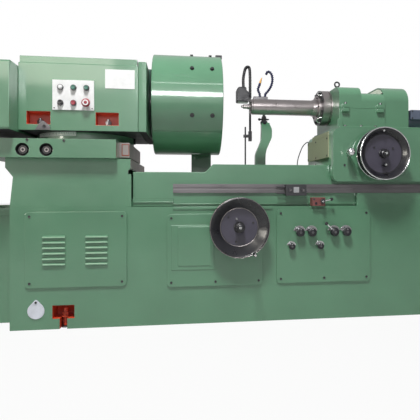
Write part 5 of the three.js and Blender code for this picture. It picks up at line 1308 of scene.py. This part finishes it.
class GRINDER_OT_chuck(bpy.types.Operator):
    """Work spindle, three-jaw chuck and its stepped jaws"""

    bl_idname = "grinder.chuck"
    bl_label = "Work spindle and chuck"

    def execute(self, context):
        box = extent("work_spindle")
        spindle = Piece()
        spindle.turned([
            (0, box.x0), (32, box.x0), (34, box.x0 + 2), (34, -172), (66, -172), (68, -170), (68, -134),
            (66, -132), (34, -132), (34, 21), (52, 21), (52, 618), (76, 618), (78, 620), (78, 640),
            (76, 642), (60, 642), (60, 688), (58, 690), (0, 690),
        ], "x", SPINDLE_LINE, "steel")
        spindle.done("Work_spindle", "work_spindle", "steel", "work_spindle")
        body = extent("chuck_body")
        radius = (body.y1 - body.y0) / 2
        chuck = Piece()
        chuck.turned([
            (0, body.x0), *near((radius, body.x0), (-6, 0), (0, 6), (0, 40), (-3, 42), (-3, 46), (0, 48)),
            (radius, body.x1 - 6), (radius - 6, body.x1),
            *near((0, body.x1), (34, 0), (30, -4), (30, -30), (0, -30)),
        ], "x", SPINDLE_LINE, "steel", 128)
        for turn in range(3):
            angle = FULL_TURN * turn / 3
            slots = Matrix.Translation((body.x1, AXIS_Y, AXIS_Z)) @ Matrix.Rotation(angle, 4, "X")
            for side in (-19, 19):
                chuck.box((-2, 0.2), (side - 1.5, side + 1.5), (36, radius - 8), "black iron", 0.1, slots)
            key = Matrix.Translation((body.x0 + 60, AXIS_Y, AXIS_Z))
            key = key @ Matrix.Rotation(angle + math.pi / 3, 4, "X")
            chuck.box((-7, 7), (-7, 7), (radius - 3, radius + 0.4), "black iron", 1, key)
        chuck.done("Chuck_body", "work_spindle", "steel", "chuck_body")
        for number in (1, 2, 3):
            jaw = Piece()
            jaw.casting(f"chuck_jaw_{number}", "steel", 1.0)
            jaw.done(f"Chuck_jaw_{number}", f"jaw_{number}", "steel", f"chuck_jaw_{number}")
        return {"FINISHED"}


class GRINDER_OT_guard(bpy.types.Operator):
    """Chuck guard: fixed trough on its post and hinged cover"""

    bl_idname = "grinder.guard"
    bl_label = "Chuck guard"

    left, right, radius, wall = 675, 1055, 287, 6
    front_seam = -47
    seam_gap = 0.15
    hinge_span, cover_knuckle = (702, 1028), (745, 985)
    centre = Vector((0, AXIS_Y, 1188))

    def drum(self):
        """The whole drum as a shell with a hole at each end."""
        r, w = self.radius, self.wall
        return spun([
            (150, self.left), (r - 3, self.left), (r, self.left + 3), (r, self.right - 3),
            (r - 3, self.right), (220, self.right), (220, self.right - w), (r - w, self.right - w),
            (r - w, self.left + w), (150, self.left + w),
        ], "x", self.centre, 144, closed=True)

    def outwards(self, angle):
        """Direction at an angle above the front horizon."""
        turn = math.radians(angle)
        return Vector((0, -math.cos(turn), math.sin(turn)))

    def half(self, keep_above):
        shape = self.drum()
        front = self.centre + self.outwards(self.front_seam) * self.radius
        along = (self.hinge - front).normalized()
        up = Vector((0, -along.z, along.y))
        middle = front + up * (self.seam_gap if keep_above else -self.seam_gap)
        everything = [*shape.verts, *shape.edges, *shape.faces]
        bmesh.ops.bisect_plane(shape, geom=everything, dist=MERGE, plane_co=middle,
                               plane_no=-up if keep_above else up, clear_outer=True)
        bmesh.ops.holes_fill(shape, edges=[e for e in shape.edges if e.is_boundary], sides=0)
        bmesh.ops.recalc_face_normals(shape, faces=shape.faces)
        return shape

    def execute(self, context):
        self.hinge = Vector((0, *pivot("guard_cover").yz))
        cover = Piece()
        cover.take(self.half(True), "green")
        self.strip(cover, self.front_seam + 1.0, 7.2, 4)
        cover.rod(10, self.cover_knuckle, "x", self.hinge, "green")
        for angle in (76, 33, -20.5):
            for x in (889, 997):
                self.bolt(cover, x, angle)
        cover.box((1030, 1068), (AXIS_Y - 50, AXIS_Y - 22), (1466, 1486), "black iron", 2)
        cover.done("Guard_cover", "guard_cover", "green_paint", "guard_cover")
        trough = Piece()
        trough.take(self.half(False), "green")
        post = SimpleNamespace(left=893, right=1017, front=504, rear=582)
        inner = self.radius - self.wall / 2
        tops = [post.rear + (post.front - post.rear) * i / 12 for i in range(13)]
        outline = [(post.front, SHELF_TOP), (post.rear, SHELF_TOP),
                   *((y, self.centre.z - math.sqrt(inner ** 2 - (y - AXIS_Y) ** 2)) for y in tops)]
        trough.prism(outline, "x", (post.left, post.right), "green", 2)
        foot = ((post.left - 16, post.right + 16), (post.front, post.rear + 16), (SHELF_TOP, 714))
        trough.box(*foot, "green", 2)
        trough.heads(6, 6, "z", (post.left - 7, post.right + 7), (post.rear + 8, post.front + 9), foot[2][1],
                     outwards=1)
        (low, high), (start, end) = self.hinge_span, self.cover_knuckle
        for knuckle in ((low, start - 1), (end + 1, high)):
            trough.rod(10, knuckle, "x", self.hinge, "green")
        trough.rod(4, self.hinge_span, "x", self.hinge, "dark steel")
        trough.done("Guard_trough", "base", "green_paint", "guard_trough")
        return {"FINISHED"}

    def strip(self, piece, angle, width, proud):
        """A raised lip along the seam, from the front angle upwards."""
        inner, outer = self.radius - 1, self.radius + proud
        band = [(inner, self.left + 8), (outer, self.left + 10),
                (outer, self.right - 10), (inner, self.right - 8)]
        piece.turned(band, "x", self.centre, "green", 8, closed=True, angle=-math.radians(width),
                     start=math.radians(180 - angle), bevel=0.8)

    def bolt(self, piece, x, angle):
        """A hexagon head on the drum at an angle above the front horizon."""
        out = self.outwards(angle)
        foot = self.centre + Vector((x, 0, 0)) + out * (self.radius - 0.5)
        piece.set_on(stub(9.5, 9, 6, 1.2), foot + out * 5.5, out, "black iron")
        piece.set_on(stub(12, 2), foot + out * 0.8, out, "black iron")


class GRINDER_OT_lamp(bpy.types.Operator):
    """Work lamp on its stand with a gooseneck"""

    bl_idname = "grinder.lamp"
    bl_label = "Work lamp"

    def execute(self, context):
        x, y, foot_top, clamp, arm_low = 1250, FITTINGS_Y, 722, (1040, 1058), 1015
        lamp = Piece()
        lamp.box((1228, 1300), (y - 34, y + 34), (SHELF_TOP, foot_top), "black iron", 3)
        lamp.rod(12, (foot_top, 736), "z", (x, y, 0), "black iron")
        lamp.rod(5, (foot_top, 1110), "z", (x, y, 0), "black iron")
        lamp.box((1238, 1289), (y - 12, y + 12), clamp, "black iron", 2)
        lamp.socket_head(6, 6, "y", (x, y - 12, sum(clamp) / 2), "dark steel")
        lamp.box((1275, 1289), (y - 5, y + 5), (arm_low, 1305), "black plastic", 1.5)
        lamp.box((1271, 1293), (y - 9, y + 9), (arm_low, 1082), "black plastic", 2)
        for z in range(1022, 1080, 6):
            lamp.box((1270.4, 1293.6), (y - 9.6, y + 9.6), (z, z + 2.4), "black plastic", 0.8)
        neck = smooth_route(upright(
            (1282, 1303), (1282, 1335), (1281.7, 1440), (1276, 1504), (1252, 1500), (1237, 1437),
            (1237, 1378), (1237, 1362)), 10)
        lamp.tube(neck, 9.2, "black plastic", 16)
        for place, ahead in list(zip(neck, neck[1:]))[2::2]:
            lamp.set_on(stub(10.2, 3.4, 16, 0.9), place, (ahead - place).normalized(), "black plastic")
        head = [(1196, 1272), (1267, 1272), (1272, 1278), (1272, 1328), (1266, 1338), (1253, 1347),
                (1253, 1362), (1248, 1368), (1206, 1368), (1195, 1362), (1190, 1352), (1190, 1278)]
        lamp.prism(head, "y", (y - 37, y + 37), "black plastic", 4, 4)
        lamp.box((1198, 1264), (y - 29, y + 29), (1271.4, 1274), "white plate", 0.6)
        lamp.done("Work_lamp", "base", "black_paint", "work_lamp")
        return {"FINISHED"}


class GRINDER_OT_coolant(bpy.types.Operator):
    """Coolant bracket with cock and manifold, segmented hoses and the tank"""

    bl_idname = "grinder.coolant"
    bl_label = "Coolant"

    hose_places = (1348, 1384)
    manifold_top = 1313

    def execute(self, context):
        self.bracket()
        self.hoses()
        tank = extent("coolant_tank")
        piece = Piece()
        piece.casting("coolant_tank", "green", 2.5)
        piece.box((tank.x0 + 18, tank.x1 - 18), (tank.y0 + 18, tank.y1 - 18), (571.2, 573), "bare iron", 0.5)
        piece.done("Coolant_tank", "base", "green_paint", "coolant_tank")
        return {"FINISHED"}

    def bracket(self):
        y = FITTINGS_Y
        right = smooth_route(upright(
            (1384, SHELF_TOP), (1384, 800), (1385, 930), (1404, 990), (1424, 1035), (1427, 1060),
            (1426, 1096), (1412, 1128), (1410, 1138)), 5)
        left = smooth_route(upright(
            (1359, 1138), (1357, 1128), (1357, 1096), (1356, 1060), (1353, 1018), (1336, 975), (1318, 930),
            (1315, 880), (1315, SHELF_TOP)), 5)
        outline = [(p.x, p.z) for p in [*right, *left]]
        bracket = Piece()
        bracket.prism(outline, "y", (y - 20, y + 20), "green", 5, 3)
        foot_top, lever, cock = 716, (1158, 1166), (1376, y, 0)
        bracket.box((1305, 1404), (y - 40, y + 40), (SHELF_TOP, foot_top), "green", 3)
        bracket.heads(5.5, 5, "z", (1316, 1394), (y - 31, y + 31), foot_top, outwards=1)
        bracket.rod(24, (1128, 1150), "z", cock, "black iron", 48, 3)
        bracket.rod(17, (1150, 1172), "z", cock, "dark steel", 48, 2)
        bracket.box((1343, 1409), (y - 12, y + 12), lever, "black iron", 3)
        bracket.ball(9, (1345, y, sum(lever) / 2), "black plastic")
        bracket.hexagon(28, (1170, 1182), "z", cock, "dark steel")
        bracket.rod(9, (1180, 1296), "z", cock, "dark steel")
        bracket.box((1304, 1400), (y - 13, y + 13), (1291, self.manifold_top), "dark steel", 3)
        for x in self.hose_places:
            bracket.hexagon(22, (self.manifold_top - 4, self.manifold_top + 1), "z", (x, y, 0), "black iron")
        bracket.done("Coolant_bracket", "base", "green_paint", "coolant_bracket")

    def hoses(self):
        foot = self.manifold_top + 0.3
        first, second = self.hose_places
        left = smooth_route(upright(
            (first, foot), (first, 1331), (1338, 1350), (1334, 1366), (1341, 1378), (1347, 1396)), 10)
        right = smooth_route(upright(
            (second, foot), (second, 1331), (1403, 1352), (1424, 1385), (1434, 1425), (1429, 1464),
            (1412, 1484), (1396, 1480), (1392, 1462)), 10)
        piece = Piece()
        end, way = self.segments(piece, left)
        for profile, material in (
                ([(0, -4), (8, -4), (8.4, 2), (7, 10), (0, 10)], "hose"),
                ([(0, 8), (7.4, 8), (7.6, 16), (4.4, 36), (3.4, 46), (0, 46)], "nozzle")):
            piece.set_on(spun(profile, "z", (0, 0, 0), SMALL_STEPS), end, way, material)
        piece.done("Left_coolant_hose", "base", "hose_plastic", "left_coolant_hose")
        piece = Piece()
        self.segments(piece, right)
        piece.done("Right_coolant_hose", "base", "hose_plastic", "right_coolant_hose")

    def segments(self, piece, route):
        """Ball-jointed links at an even pitch along a route; gives its end and heading."""
        pitch = edge("hose_pitch")
        lengths = [(b - a).length for a, b in zip(route, route[1:])]
        count = max(2, round(sum(lengths) / pitch))
        step = sum(lengths) / count
        places = [self.at_length(route, lengths, step * i) for i in range(count + 1)]
        for foot, head in zip(places, places[1:]):
            link = spun([(0, 0), (5.4, 0), (6.2, 1.5), (9, 3.2), (9, 6.6), (8.4, 8), (6.4, 10.5),
                         (5, step + 0.6), (0, step + 0.6)], "z", (0, 0, 0), 20)
            piece.set_on(link, foot, (head - foot).normalized(), "hose")
        return places[-1], (places[-1] - places[-2]).normalized()

    def at_length(self, route, lengths, distance):
        for start, end, length in zip(route, route[1:], lengths):
            if distance <= length:
                return start.lerp(end, distance / length)
            distance -= length
        return route[-1]


class GRINDER_OT_hidden_drive(bpy.types.Operator):
    """Traverse cylinder and piston rod between the ways"""

    bl_idname = "grinder.hidden_drive"
    bl_label = "Traverse cylinder"

    def execute(self, context):
        repaint("dark steel", "traverse_cylinder")
        repaint("steel", "piston_rod")
        return {"FINISHED"}


class GRINDER_PT_panel(bpy.types.Panel):
    """Sizes, colours and pieces of the grinding machine"""

    bl_idname = "GRINDER_PT_panel"
    bl_label = "Internal grinding machine"
    bl_space_type = "VIEW_3D"
    bl_region_type = "UI"
    bl_category = "Grinder"

    def draw(self, context):
        layout = self.layout
        for group in (context.scene.grinder_sizes, context.scene.grinder_colours):
            for name in group.__annotations__:
                layout.prop(group, name)
        for operator in OPERATORS:
            layout.operator(operator.bl_idname)


PROPERTY_GROUPS = (GrinderSizes, GrinderColours)
OPERATORS = (
    GRINDER_OT_stage, GRINDER_OT_bed, GRINDER_OT_panels, GRINDER_OT_valve_controls, GRINDER_OT_table,
    GRINDER_OT_cross_feed, GRINDER_OT_traverse_wheel, GRINDER_OT_wheelhead, GRINDER_OT_wheel_drive,
    GRINDER_OT_workhead_slide, GRINDER_OT_workhead, GRINDER_OT_buttons, GRINDER_OT_chuck, GRINDER_OT_guard,
    GRINDER_OT_lamp, GRINDER_OT_coolant, GRINDER_OT_hidden_drive,
)
CLASSES = (*PROPERTY_GROUPS, *OPERATORS, GRINDER_PT_panel)


def register():
    for each in CLASSES:
        bpy.utils.register_class(each)
    bpy.types.Scene.grinder_sizes = bpy.props.PointerProperty(type=GrinderSizes)
    bpy.types.Scene.grinder_colours = bpy.props.PointerProperty(type=GrinderColours)


def unregister():
    del bpy.types.Scene.grinder_colours
    del bpy.types.Scene.grinder_sizes
    for each in reversed(CLASSES):
        bpy.utils.unregister_class(each)


def main():
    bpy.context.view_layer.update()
    register()
    for operator in OPERATORS:
        group, name = operator.bl_idname.split(".")
        getattr(getattr(bpy.ops, group), name)()


if __name__ == "__main__":
    main()
